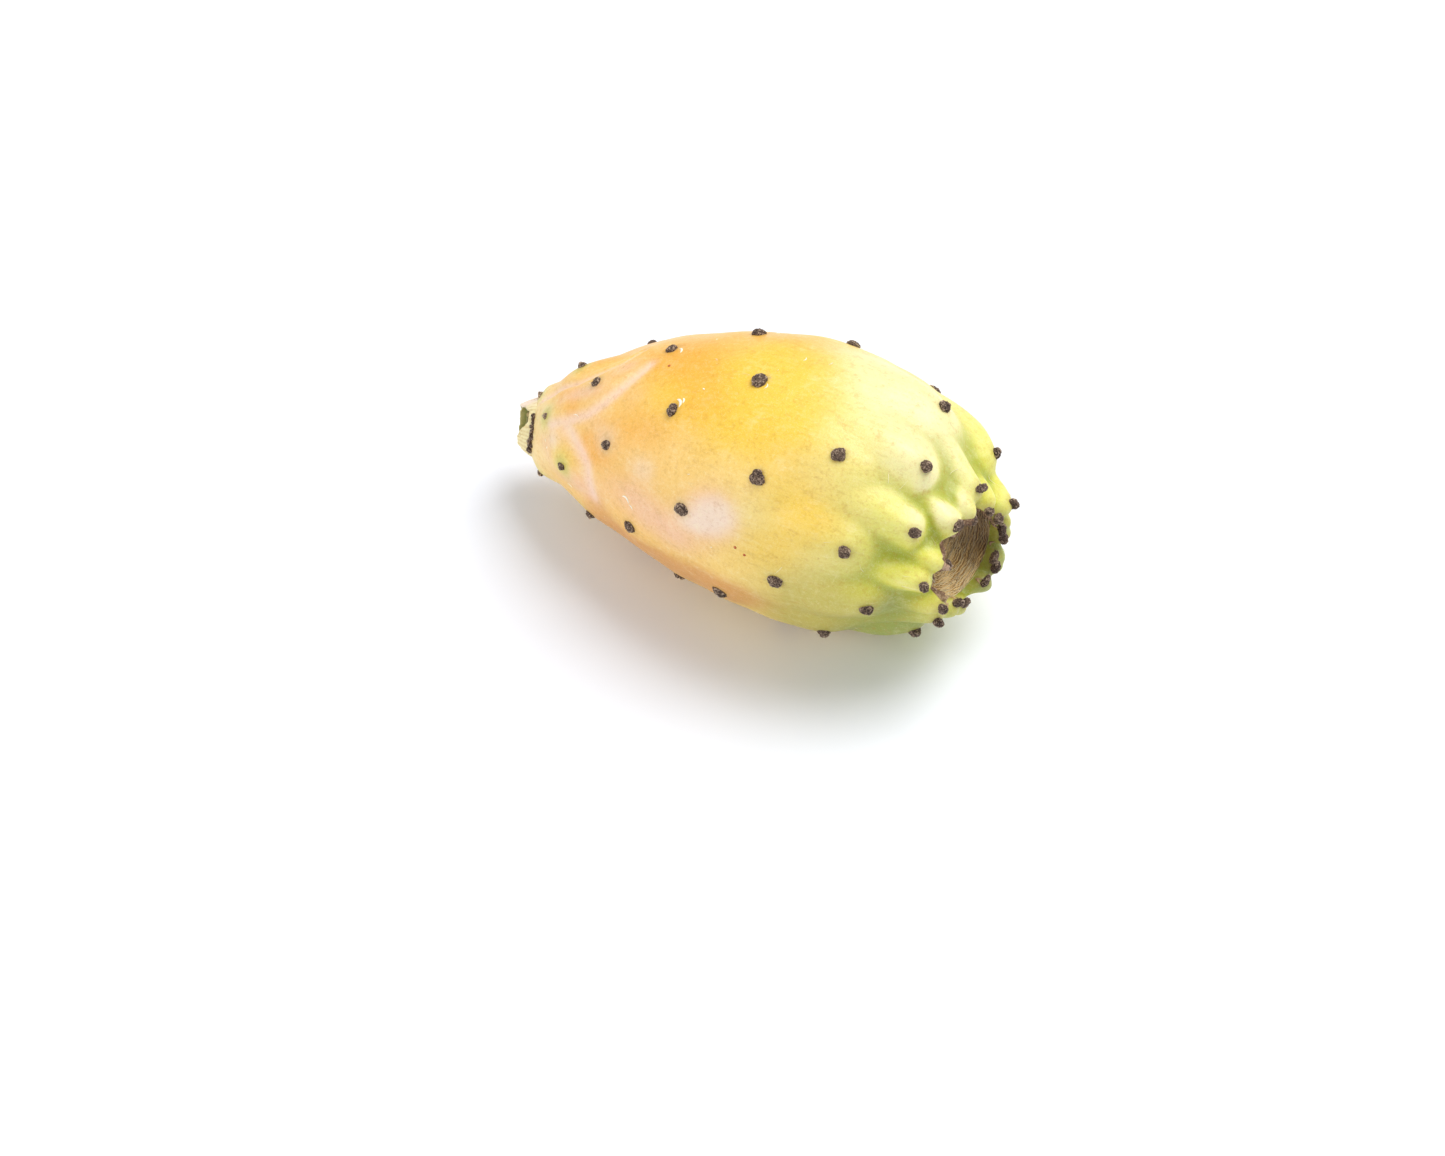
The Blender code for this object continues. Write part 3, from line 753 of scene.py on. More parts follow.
uneven = wire.node("GeometryNodeSetPosition", {}, {"Geometry": marked, "Offset": offset})
close_growth(wire, uneven, given["Finish"])

bristle_tree, wire, given = new_growth(
    "bristles",
    {"Density": "Float", "Length": "Float", "Thickness": "Float", "Tilt": "Float", "Seed": "Int",
     "Finish": "Material"},
)
face_up = wire.node(
    "FunctionNodeCompare", {"data_type": "FLOAT", "operation": "GREATER_THAN"},
    {"A": read(wire, "up"), "B": 0.0},
)
spots = wire.node(
    "GeometryNodeDistributePointsOnFaces", {"distribute_method": "RANDOM"},
    {"Mesh": given["Geometry"], "Selection": face_up, "Density": given["Density"], "Seed": given["Seed"]},
)
needle = wire.node(
    "GeometryNodeMeshCone", {"fill_type": "TRIANGLE_FAN"},
    {"Vertices": 4, "Side Segments": 1, "Radius Top": 0.35, "Radius Bottom": 1.0, "Depth": 1.0},
    "Mesh",
)
spot = wire.node("ShaderNodeSeparateXYZ", {}, {"Vector": wire.node("GeometryNodeInputPosition")})
needle = wire.node(
    "GeometryNodeStoreNamedAttribute", {"data_type": "FLOAT", "domain": "POINT"},
    {"Geometry": needle, "Name": "tip", "Value": spot.other("Z")},
)
lean = wire.node(
    "FunctionNodeRandomValue", {"data_type": "FLOAT_VECTOR"},
    {"Min": (-1, -1, -1), "Max": (1, 1, 1), "Seed": given["Seed"]},
)
lean = wire.node("ShaderNodeVectorMath", {"operation": "SCALE"}, {"Vector": lean, "Scale": given["Tilt"]})
turn = wire.node("FunctionNodeEulerToRotation", {}, {"Euler": lean})
turn = wire.node(
    "FunctionNodeRotateRotation", {"rotation_space": "LOCAL"},
    {"Rotation": spots.other("Rotation"), "Rotate By": turn},
)
chance = wire.node(
    "FunctionNodeRandomValue", {"data_type": "FLOAT"},
    {"Min": 0.45, "Max": 1.0, "Seed": given["Seed"] + 5},
)
size = wire.node(
    "ShaderNodeCombineXYZ", {},
    {"X": given["Thickness"], "Y": given["Thickness"], "Z": given["Length"] * chance},
)
stuck = wire.node(
    "GeometryNodeInstanceOnPoints", {},
    {"Points": spots, "Instance": needle, "Rotation": turn, "Scale": size},
)
both = wire.node("GeometryNodeJoinGeometry")
for part in (stuck, given["Geometry"]):
    wire.tree.links.new(part.socket, both.socket.node.inputs[0])
close_growth(wire, both, given["Finish"])

felt_finish, wire = new_finish("dry brown felt")
here = wire.here()
tip = wire.field("tip")
shade = wire.field("shade")
patch = wire.noise(here, 900, 3, 0.6)
fluff = wire.noise(here, 5200, 2)
lump = wire.field("lump")
brown = wire.plain("2a1c17")
brown = brown.tinted("5c483b", (lump + (fluff - 0.5) * 0.3 + shade * 0.06).step(0.36, 0.58))
brown = brown.tinted("b09a85", (lump + (fluff - 0.5) * 0.4 + (patch - 0.5) * 0.4).step(0.53, 0.68))
brown = brown.tinted("c8ae90", wire.field("dry") * (lump + (fluff - 0.5) * 0.5).step(0.40, 0.65))
brown = brown.tinted("b39a84", tip * (patch + shade * 0.3).step(0.35, 0.75))
bump = wire.bump(fluff, 0.8)
close_finish(wire, Base_Color=brown, Roughness=0.85 + (fluff - 0.5) * 0.2, Normal=bump)

draw = random.Random(21)
centres, aims, lies, longs, wides, talls, shades, dries = ([] for _ in range(8))
for foot, (spot_station, spot_angle, _, _, _, _, _, radius, height) in zip(feet, areoles):
    lift = float(mounds(spot_station, spot_angle))
    out = Vector(skin_place(spot_station, spot_angle, lift + MM) - foot).normalized()
    onward = Vector(skin_place(spot_station + 0.002, spot_angle, lift) - foot).normalized()
    lean = CROWN_LEAN * float(smooth(0.85, 0.95, spot_station))
    lean += NECK_LEAN * float(1 - smooth(0.03, 0.14, spot_station))
    out = (out + onward * lean).normalized()
    centres.append(Vector(foot) + out * (height - KNOB_ROOT) / 2)
    aims.append(out)
    lies.append(Vector((draw.gauss(0, 1), draw.gauss(0, 1), draw.gauss(0, 1))))
    if spot_station > ALONG_RIM_FROM:
        lies[-1] = Vector(skin_place(spot_station, spot_angle + 0.02, lift) - foot)
    stretch = 1 + draw.uniform(0, STRETCH)
    stretch += draw.uniform(0, CROWN_STRETCH) * float(smooth(0.9, 0.97, spot_station))
    longs.append(radius * FELT_SHARE * stretch)
    wides.append(radius * FELT_SHARE / stretch**0.5)
    talls.append((height + KNOB_ROOT) / 2)
    shades.append(draw.random())
    dries.append(0.9 * float(1 - smooth(0.03, 0.16, spot_station)) + draw.uniform(0, 0.25))
areole_felt = new_piece(
    "areoles", centres, aim=aims, lie=lies, long=longs, wide=wides, tall=talls, shade=shades, dry=dries
)
grow(
    areole_felt, cushion_tree, Facets=CUSHION_FACETS, Lumps=CUSHION_LUMPS, Curls=CUSHION_CURLS,
    Finish=felt_finish,
)
grow(
    areole_felt, bristle_tree, Density=BRISTLES_PER_SQUARE_METRE, Length=BRISTLE_LENGTH,
    Thickness=BRISTLE_THICKNESS, Tilt=BRISTLE_TILT, Seed=4, Finish=felt_finish,
)
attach(areole_felt, "root")
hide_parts("prickly_pear_fruit")

# The torn stem end is what is left of the foot of the fruit, where it was twisted off its pad: a
# pithy core, round it a torn cup of thick cream peel that is green inside, and in the groove
# between the cup and the skin a dark band of the same felt and bristles as the areoles.
COLLAR_BASE_OUT = -0.7
COLLAR_BASE_RADIUS = 4.9
COLLAR_WALL = 0.5
COLLAR_SEGMENTS = 220
COLLAR_RINGS = 14
# The lengthwise folds of the peel: how many in a turn, how high and how deep they lie, in mm
PEEL_FOLDS = 10
PEEL_FOLD_HEIGHT = 0.22
PEEL_FOLD_SUNK = 0.12
# How far the groove with the felt draws in the foot of the cup, in mm
GROOVE_NIP = 0.45
# The torn edge: angle in degrees, then how far out it stands and its radius, in mm
COLLAR_EDGE = (
    (-180, 1.6, 3.2), (-130, 2.3, 3.2), (-80, 2.2, 3.4), (-45, 2.3, 3.6), (-28, 2.0, 3.5),
    (-8, 1.3, 3.8), (12, 0.4, 4.3), (32, 0.5, 4.3), (48, 1.2, 3.9), (62, 1.9, 3.5), (80, 2.3, 3.3),
    (98, 2.2, 3.4), (112, 1.7, 3.6), (130, 1.3, 3.8), (180, 1.6, 3.2),
)
CORE_RADIUS = 3.2
CORE_OUT = 0.5
PITH_HEIGHT = 0.16
PITH_GRAIN = 0.10
CORE_RINGS = 26
CORE_SEGMENTS = 110
FELT_BAND = (22, 114)
FELT_BAND_OUT = -0.35
FELT_BAND_RADIUS = 4.7
FELT_BAND_TUFTS = 34
# Half width and height of a tuft, in mm, from the least to the most
TUFT_WIDTH = (0.20, 0.34)
TUFT_HEIGHT = (0.25, 0.5)

share, angle = round_grid(np.linspace(0, 1, COLLAR_RINGS), COLLAR_SEGMENTS)
edge = np.array(COLLAR_EDGE)
turn = np.degrees(angle + math.pi) % 360 - 180
edge_out, edge_radius = (np.interp(turn, edge[:, 0], edge[:, k]) for k in (1, 2))
torn = 0.10 * np.sin(7 * angle + 0.4) + 0.05 * np.sin(13 * angle + 2.0) + 0.03 * np.sin(29 * angle)
edge_out = edge_out + torn
in_groove = smooth(4, 24, turn) * (1 - smooth(100, 122, turn))
base_radius = COLLAR_BASE_RADIUS - GROOVE_NIP * in_groove
out = COLLAR_BASE_OUT + (edge_out - COLLAR_BASE_OUT) * share
folds = (angle * PEEL_FOLDS / (2 * math.pi) + 0.3 * np.sin(2 * angle)) % 1
ripple = PEEL_FOLD_HEIGHT * (4 * folds * (1 - folds)) ** 0.6 - PEEL_FOLD_SUNK
ripple = ripple + 0.01 * np.sin(23 * angle + 7 * share)
radius = base_radius + (edge_radius - base_radius) * share**1.3 + ripple
wall = COLLAR_WALL * (1 - 0.45 * share)
shell = np.concatenate([out, out[::-1]])
shell_radius = np.concatenate([radius, (radius - wall)[::-1]])
collar_places = grown_place(-shell * MM, shell_radius * MM, np.concatenate([angle, angle]), 0, 1)
collar = closed_mesh(
    "stem_collar", collar_places, poles=False, inside=np.concatenate([0 * share, 0 * share + 1]),
    torn=np.concatenate([share, share[::-1]]),
    flap=np.concatenate([np.exp(-(((turn + 28) / 20) ** 2))] * 2),
    streak=np.concatenate([0.5 + 0.25 * np.sin(31 * angle + 2 * np.sin(5 * angle) + 3 * share)] * 2),
)
collar_finish, wire = new_finish("torn stem peel")
here = wire.here()
fleck = wire.noise(here, 2400, 3, 0.6)
patch = wire.noise(here, 700, 2)
streak = wire.field("streak") * 0.5 + fleck * 0.6
cream = wire.plain("efe2ae")
cream = cream.tinted("d9c083", streak.step(0.35, 0.85))
cream = cream.tinted("f3dccb", wire.field("flap") * 0.9)
cream = cream.tinted("b79c66", (patch + fleck * 0.4).step(0.80, 0.98) * 0.5)
green = wire.plain("8e9a52")
green = green.tinted("c9c38a", (wire.field("torn") + fleck * 0.5).step(0.7, 1.35))
cream = cream.tinted(green, wire.field("inside") * (1 - wire.field("flap") * 0.8))
bump = wire.bump(streak, 0.35)
close_finish(wire, Base_Color=cream, Roughness=0.6 + (fleck - 0.5) * 0.2, Normal=bump)
collar.data.materials.append(collar_finish)

share, angle = round_grid(np.linspace(0, 1, CORE_RINGS), CORE_SEGMENTS)
radius = CORE_RADIUS * share
pith = PITH_HEIGHT * np.sin(2.2 * radius * math.pi + np.sin(3 * angle)) * np.cos(5 * angle + radius)
pith = (pith + PITH_GRAIN * np.sin(11 * angle + 4 * radius)) * smooth(0, 0.6, radius)
top = grown_place(-(CORE_OUT + 0.4 * share**2 + pith) * MM, radius * MM, angle, 0, 1)
low = grown_place((0 * share + 0.8) * MM, radius * MM, angle, 0, 1)
core = closed_mesh(
    "stem_core", np.concatenate([low, top[::-1]]), pith=np.concatenate([pith, pith[::-1]]),
)
core_finish, wire = new_finish("dry stem pith")
here = wire.here()
fleck = wire.noise(here, 1900, 3, 0.7)
tan = wire.plain("6c6a3c")
tan = tan.tinted("c2ad76", (wire.field("pith") * 2 + fleck).step(0.4, 0.75))
bump = wire.bump(fleck, 0.7)
close_finish(wire, Base_Color=tan, Roughness=0.8 + (fleck - 0.5) * 0.2, Normal=bump)
core.data.materials.append(core_finish)

draw = random.Random(33)
rows, aims, wides, talls, shades = [], [], [], [], []
for n in range(FELT_BAND_TUFTS):
    turn = math.radians(FELT_BAND[0] + (FELT_BAND[1] - FELT_BAND[0]) * n / (FELT_BAND_TUFTS - 1))
    out = (FELT_BAND_OUT + draw.uniform(-0.25, 0.30)) * MM
    radius = (FELT_BAND_RADIUS + draw.uniform(-0.25, 0.1)) * MM
    foot = grown_place(-out, radius, turn, 0, 1)
    rows.append(foot)
    aims.append(grown_place(-out - 0.4 * MM, radius + MM, turn, 0, 1) - foot)
    wides.append(draw.uniform(TUFT_WIDTH[0], TUFT_WIDTH[1] + 0.16 * n / FELT_BAND_TUFTS) * MM)
    talls.append(draw.uniform(*TUFT_HEIGHT) * MM)
    shades.append(draw.random())
stem_felt = new_piece(
    "stem_felt", rows, aim=aims, lie=aims, long=wides, wide=wides, tall=talls, shade=shades
)
grow(
    stem_felt, cushion_tree, Facets=CUSHION_FACETS, Lumps=CUSHION_LUMPS * 0.5,
    Curls=CUSHION_CURLS * 0.5, Finish=felt_finish,
)
grow(
    stem_felt, bristle_tree, Density=BRISTLES_PER_SQUARE_METRE * 2, Length=BRISTLE_LENGTH * 2,
    Thickness=BRISTLE_THICKNESS, Tilt=BRISTLE_TILT * 1.3, Seed=9, Finish=felt_finish,
)
for piece in (collar, core, stem_felt):
    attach(piece, "root")
    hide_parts("prickly_pear_fruit")

# The flower scar is the dish that the dead flower dropped out of. Its floor is layer on layer of dry
# wavy fibres, grown into the crown: dark brown on the upper side, where shade is painted, and straw
# coloured toward the floor, partly its own colour and partly painted light.
SCAR_RINGS = ((1.20, 1.10, 90), (1.10, 1.00, 160), (1.00, 0.996, 3))
SCAR_SEGMENTS = 220
SCAR_DEPTH = 1.2 * MM
SCAR_TUCK = 0.25 * MM
FIBRE_HEIGHT = 0.14 * MM
# Each band of fibres: spacing in mm, share of the height, how many times it fades out in a turn
FIBRE_WAVES = ((1.9, 0.16, 2), (0.80, 0.20, 5), (0.44, 0.45, 7), (0.27, 0.45, 9))
# The side of the scar that is painted straw and lit; the opposite side is painted in shade.
STRAW_AND_LIGHT_SIDE = math.radians(150)


def scar_reach(station):
    """Distance over the floor of the scar from its middle to a station."""
    stations = np.linspace(1.20, 0.99, 211)
    steps = np.diff(skin_line(stations), axis=0)
    reach = np.concatenate([[0], np.cumsum(np.hypot(steps[:, 0], steps[:, 1]))])
    return np.interp(-station, -stations, reach)


def straw_and_light_share(angle):
    """How straw coloured the scar is at an angle, from 0 to 1: partly its own colour, partly painted
    light, and painted shade where it is 0.
    """
    return 0.5 + 0.5 * np.cos(angle - STRAW_AND_LIGHT_SIDE)


def fibre_height(station, angle):
    """Height of the scar's wavy fibres, about -1 to 1, at a station and an angle."""
    draw = random.Random(3)
    height = 0
    reach = scar_reach(station) / MM
    for spacing, share, fades in FIBRE_WAVES:
        wander = sum(
            draw.uniform(0.2, 0.45) * np.sin(turns * angle + draw.uniform(0, 6.28)) / turns**0.55
            for turns in (1, 2, 3, 5, 8, 13, 21, 37)
        )
        crest = np.abs(np.sin(math.pi * (reach + wander) / spacing))
        here = 0.6 + 0.4 * np.sin(fades * angle + 1.3 * reach + draw.uniform(0, 6.28))
        height = height + share * here * (1 - 2 * crest**0.7)
    return height


station, angle = turned_grid(SCAR_RINGS, SCAR_SEGMENTS)
radius = skin_line(station)[..., 1]
height = fibre_height(station, angle)
rim = mounds(station, angle)
settle = smooth(0, 1.5 * MM, radius) * (1 - smooth(1.01, 0.995, station))
tuck = SCAR_TUCK * smooth(1.006, 0.998, station)
top = skin_place(station, angle, rim + height * FIBRE_HEIGHT * settle - tuck)
bottom = skin_place(station[::-4], angle[::-4], rim[::-4] - SCAR_DEPTH)
golden = straw_and_light_share(angle)
scar = closed_mesh(
    "flower_scar", np.concatenate([top, bottom]),
    crest=np.concatenate([height, height[::-4]]), golden=np.concatenate([golden, golden[::-4]]),
)
scar_finish, wire = new_finish("dry flower scar")
here = wire.here()
crest = wire.field("crest")
golden = wire.field("golden")
patch = wire.noise(here, 260, 3, 0.6)
fleck = wire.noise(here, 2600, 3, 0.7)
brown = wire.plain("5c4329")
# Dark in the fibre grooves, pale on their crests: partly their tones, partly painted shade and highlight.
brown = brown.tinted("b8996e", (crest + (fleck - 0.5) * 0.5).step(-0.70, -0.05))
brown = brown.tinted("e0caa4", (crest + (fleck - 0.5) * 0.8).step(0.0, 0.6))
lit_straw = wire.plain("a4783a")
lit_straw = lit_straw.tinted("f8d898", (crest + (fleck - 0.5) * 0.5).step(-0.70, -0.05))
lit_straw = lit_straw.tinted("fff6d2", (crest + (fleck - 0.5) * 0.8).step(-0.1, 0.5))
# Dark brown above, straw toward the floor: partly the scar's own colours, partly painted shade and light.
brown = brown.tinted(lit_straw, (golden + (patch - 0.5) * 0.6).step(0.40, 0.98))
bump = wire.bump(fleck, 0.7)
close_finish(wire, Base_Color=brown, Roughness=0.62 + (fleck - 0.5) * 0.3, Normal=bump)
scar.data.materials.append(scar_finish)
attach(scar, "root")
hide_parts("prickly_pear_fruit")

# Round the scar stands the ragged edge of the dead flower: thin dry skin, brown and torn, that folds
# out over the crown on the near side and goes over into straw toward the floor, partly painted light.
MARGIN_SEGMENTS = 420
MARGIN_FOLD = 1.4
MARGIN_FOLDS_TOWARD = math.radians(62)
MARGIN_STATION_PER_MM = 0.0105
# Between its flaps the edge lies under the skin: how far back and how deep, in mm
MARGIN_HIDDEN_BACK = 2.2
MARGIN_HIDDEN_DEPTH = 0.9
# Rings of its section: how far across the rim from outside to inside in mm, then share of the height,
# or depth under the skin in mm where it is below 0
MARGIN_SECTION = (
    (-0.6, -0.6), (-0.32, 0.3), (-0.16, 0.8), (-0.02, 1.0), (0.08, 0.95), (0.10, 0.5), (0.3, -0.7),
)
# Where the torn edge stands up in flaps: angle in degrees, reach in degrees, height in mm
MARGIN_FLAPS = (
    (2, 8, 1.1), (22, 6, 1.2), (42, 6, 0.9), (60, 7, 1.0), (80, 7, 1.0), (98, 8, 1.6), (122, 8, 1.0),
    (150, 9, 0.35), (-165, 8, 0.3), (-118, 8, 0.3), (-84, 6, 0.8), (-66, 6, 1.0), (-40, 6, 0.9),
    (-20, 7, 0.5),
)

across, angle = round_grid(range(len(MARGIN_SECTION)), MARGIN_SEGMENTS)
section = np.array(MARGIN_SECTION)[::-1]
turn = np.degrees(angle)
height = 0
for flap_angle, reach, flap_height in MARGIN_FLAPS:
    apart = (turn - flap_angle + 180) % 360 - 180
    height = height + flap_height * np.exp(-((apart / reach) ** 2))
hidden = 1 - smooth(0.10, 0.35, height)
height = height * (0.85 + 0.15 * np.sin(71 * angle + 2.0)) + 0.10 + 0.08 * np.sin(19 * angle + 1.0)
inward = section[across, 0] + 0.25 * np.sin(5 * angle + 0.5) + 0.15 * np.sin(17 * angle)
near = smooth(0.35, 0.85, 0.5 + 0.5 * np.cos(angle - MARGIN_FOLDS_TOWARD))
inward = inward - MARGIN_FOLD * near - MARGIN_HIDDEN_BACK * hidden
rim_station = 1.0 + inward * MARGIN_STATION_PER_MM
rim_rise = np.where(section[across, 1] < 0, section[across, 1], section[across, 1] * height)
rim_rise = rim_rise - MARGIN_HIDDEN_DEPTH * hidden
margin = closed_mesh(
    "scar_margin", on_skin(rim_station, angle, rim_rise * MM), poles=False, golden=straw_and_light_share(angle)
)
margin_finish, wire = new_finish("dry flower edge")
here = wire.here()
patch = wire.noise(here, 620, 3, 0.6)
fleck = wire.noise(here, 3000, 3, 0.7)
brown = wire.plain("785840")
brown = brown.tinted("c4a488", (patch + (fleck - 0.5) * 0.7).step(0.42, 0.68))
# Straw toward the floor: partly the edge's own colour, partly painted light.
brown = brown.tinted("e2c68a", wire.field("golden").step(0.75, 1.0) * 0.8)
brown = brown.tinted("4a372c", (fleck + patch).step(0.92, 0.7) * 0.6)
bump = wire.bump(fleck, 0.7)
close_finish(wire, Base_Color=brown, Roughness=0.75 + (fleck - 0.5) * 0.2, Normal=bump)
margin.data.materials.append(margin_finish)

# Loose dry fibres lie over the floor of the scar and stand a little out of it. They are the finest
# threads of the dead flower; the ones near the floor are paler straw, partly their own colour and
# partly a painted glint of light.
FIBRE_COUNT = 420
FIBRE_POINTS = 20
FIBRE_SIDES = 3
# Least and most: how far round the scar a fibre runs, in degrees, and half its thickness, in mm
FIBRE_SPAN = (12, 60)
FIBRE_HALF = (0.03, 0.06)

strand_tree, wire, given = new_growth("strands", {"Sides": "Int", "Finish": "Material"})
line = wire.node("GeometryNodeMeshToCurve", {}, {"Mesh": given["Geometry"]})
ring = wire.node("GeometryNodeCurvePrimitiveCircle", {}, {"Resolution": given["Sides"], "Radius": 1.0})
tube = wire.node(
    "GeometryNodeCurveToMesh", {},
    {"Curve": line, "Profile Curve": ring, "Scale": read(wire, "thick"), "Fill Caps": True},
)
close_growth(wire, tube, given["Finish"])


def strand_lines(name, lines, thick, **fields):
    """An object of open lines of points, with a half thickness for each point and a value of each
    field for each line."""
    count = [len(line) for line in lines]
    ends = set(np.cumsum(count) - 1)
    edges = [(k, k + 1) for k in range(sum(count)) if k not in ends]
    fields = {label: np.repeat(values, count) for label, values in fields.items()}
    return new_piece(name, np.concatenate(lines), edges, thick=np.concatenate(thick), **fields)


draw = random.Random(12)
floor_station = np.linspace(1.20, 1.0, 300)
floor_reach = scar_reach(floor_station)
lines, thick, straw_and_light_values, shades = [], [], [], []
share = np.linspace(0, 1, FIBRE_POINTS)
for n in range(FIBRE_COUNT):
    reach = math.sqrt(draw.uniform(0.03, 1)) * floor_reach[-1]
    middle = draw.uniform(0, 2 * math.pi)
    span = math.radians(draw.uniform(*FIBRE_SPAN)) * min(1.0, 4 * MM / reach + 0.3)
    turn = middle + (share - 0.5) * span
    wiggle = draw.uniform(0.03, 0.10) * np.sin(share * draw.uniform(8, 22) + n)
    drift = draw.uniform(-0.4, 0.4) * (share - 0.5) + wiggle
    at = np.interp(np.clip(reach + drift * MM, 0.3 * MM, floor_reach[-1]), floor_reach, floor_station)
    bow = draw.choice((0.0, 0.0, 0.05, 0.3)) * np.sin(share * math.pi)
    lift = fibre_height(at, turn) * FIBRE_HEIGHT + (0.03 + bow) * MM
    lines.append(on_skin(at, turn, lift))
    thick.append(draw.uniform(*FIBRE_HALF) * MM * (0.35 + 0.65 * np.sin(share * math.pi) ** 0.5))
    straw_and_light_values.append(straw_and_light_share(middle))
    shades.append(draw.random())
fibres = strand_lines("scar_fibres", lines, thick, golden=straw_and_light_values, shade=shades)
fibre_finish, wire = new_finish("dry fibre")
here = wire.here()
shade = wire.field("shade")
fleck = wire.noise(here, 2200, 2)
dry = wire.plain("8a7052")
dry = dry.tinted("cbb797", (shade + (fleck - 0.5) * 0.5).step(0.2, 0.9))
# Paler straw on fibres near the floor: partly their own colour, partly a painted glint of light.
dry = dry.tinted("fdedc2", (wire.field("golden") + (shade - 0.5) * 0.4).step(0.6, 1.1))
close_finish(wire, Base_Color=dry, Roughness=0.45 + (fleck - 0.5) * 0.2)
grow(fibres, strand_tree, Sides=FIBRE_SIDES, Finish=fibre_finish)
for piece in (margin, fibres):
    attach(piece, "root")
    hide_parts("prickly_pear_fruit")

# Glochids are hair-fine barbed spines that broke off the areoles and stick to the skin, most of them
# on the crown. They are clear to straw coloured, one or two millimetres long.
GLOCHID_COUNT = 110
GLOCHID_POINTS = 5
GLOCHID_SIDES = 4
# Least and most, in mm: length, half thickness, how far from its areole it lies
GLOCHID_LENGTH = (0.7, 2.0)
GLOCHID_HALF = (0.03, 0.05)
GLOCHID_SPREAD = (1.2, 6.0)

draw = random.Random(5)
lines, thick, shades = [], [], []
share = np.linspace(0, 1, GLOCHID_POINTS)
for n in range(GLOCHID_COUNT):
    home = areoles[draw.randrange(len(areoles))]
    spread = draw.uniform(*GLOCHID_SPREAD) * MM
    toward = draw.uniform(0, 2 * math.pi)
    at = home[0] + spread * math.cos(toward) / skin_length()[1][-1]
    turn = home[1] + spread * math.sin(toward) / max(float(skin_line(home[0])[1]), 4 * MM)
    if draw.random() > smooth(0.35, 0.95, at) + 0.15 or at > 0.985 or at < 0.03:
        continue
    length = draw.uniform(*GLOCHID_LENGTH) * MM
    lie = draw.uniform(0, 2 * math.pi)
    bend = draw.uniform(-0.6, 0.6)
    run = length * share
    along = at + run * np.cos(lie + bend * share) / skin_length()[1][-1]
    around = turn + run * np.sin(lie + bend * share) / float(skin_line(at)[1])
    lift = (0.05 + draw.uniform(0.05, 0.5) * share * length / MM) * MM
    lines.append(on_skin(along, around, lift))
    thick.append(draw.uniform(*GLOCHID_HALF) * MM * (1 - 0.7 * share))
    shades.append(draw.random())
glochids = strand_lines("glochids", lines, thick, shade=shades)
glochid_finish, wire = new_finish("clear spine")
here = wire.here()
fleck = wire.noise(here, 900, 2)
pale = wire.plain("f6f0cc")
pale = pale.tinted("d9c488", (wire.field("shade") + (fleck - 0.5) * 0.6).step(0.5, 1.0))
close_finish(wire, Base_Color=pale, Roughness=0.35 + (fleck - 0.5) * 0.1)
grow(glochids, strand_tree, Sides=GLOCHID_SIDES, Finish=glochid_finish)

# Scurf is healed scratches in the skin: white crescents where an areole rubbed, short dashes and
# flecks. It is a thin corky crust, grown in the skin and a little proud of it.
# Crescents: station and angle of the middle, its lie in degrees, length, half width in mm
SCURF = (
    (0.410, 24, 55, 2.3, 0.27), (0.416, 23, 70, 1.3, 0.20), (0.350, -8, 60, 2.0, 0.22),
    (0.486, -36, 70, 1.5, 0.18),
    (0.566, 9, 95, 1.6, 0.13), (0.446, 16, 20, 0.8, 0.16), (0.592, -13, 80, 1.3, 0.10),
    (0.636, -16, 100, 1.2, 0.10), (0.142, 95, 20, 1.8, 0.13), (0.318, 76, 25, 2.2, 0.20),
    (0.332, 80, 40, 1.4, 0.14), (0.346, 81, 10, 0.9, 0.10), (0.16, 34, 15, 1.7, 0.07),
    (0.09, 30, 100, 2.2, 0.06), (0.045, 62, 40, 0.9, 0.14), (0.058, 70, 120, 0.7, 0.12),
    (0.756, 45, 10, 2.2, 0.06), (0.30, -120, 30, 1.8, 0.10), (0.52, -150, 70, 1.6, 0.11),
    (0.66, 160, 20, 1.9, 0.09), (0.40, 140, 80, 1.5, 0.10), (0.74, -100, 30, 1.7, 0.09),
)
SCURF_FLECKS = 26
SCURF_SIDES = 5
SCURF_SINK = 0.35
# Small red-brown scabs: station, angle, radius in mm
SCABS = ((0.346, 4, 0.28), (0.600, 78, 0.30), (0.622, 80, 0.24), (0.47, -140, 0.34), (0.71, -75, 0.28))
SCAB_HEIGHT = 0.16 * MM
SCAB_STRETCH = 1.2

draw = random.Random(8)
rows = list(SCURF)
for n in range(SCURF_FLECKS):
    rows.append((
        draw.uniform(0.05, 0.9), draw.uniform(-180, 180), draw.uniform(0, 180), draw.uniform(0.3, 0.9),
        draw.uniform(0.04, 0.07),
    ))
lines, thick, shades = [], [], []
share = np.linspace(-0.5, 0.5, 9)
for at, turn, lie, length, half in rows:
    curl = draw.uniform(0.6, 1.6)
    ahead = length * MM * np.cos(math.radians(lie) + curl * share) * share
    aside = length * MM * np.sin(math.radians(lie) + curl * share) * share
    along = at + ahead / skin_length()[1][-1]
    around = math.radians(turn) + aside / float(skin_line(at)[1])
    lines.append(on_skin(along, around, -SCURF_SINK * half * MM))
    thick.append(half * MM * (1.02 - (2 * np.abs(share)) ** 2.5))
    shades.append(draw.random())
scurf = strand_lines("scurf", lines, thick, shade=shades)
scurf_finish, wire = new_finish("corky scurf")
here = wire.here()
fleck = wire.noise(here, 2600, 3, 0.7)
white = wire.plain("fdf6e2")
white = white.tinted("e2c795", (fleck + (wire.field("shade") - 0.5) * 0.2).step(0.5, 0.8))
close_finish(wire, Base_Color=white, Roughness=0.7 + (fleck - 0.5) * 0.2)
grow(scurf, strand_tree, Sides=SCURF_SIDES, Finish=scurf_finish)

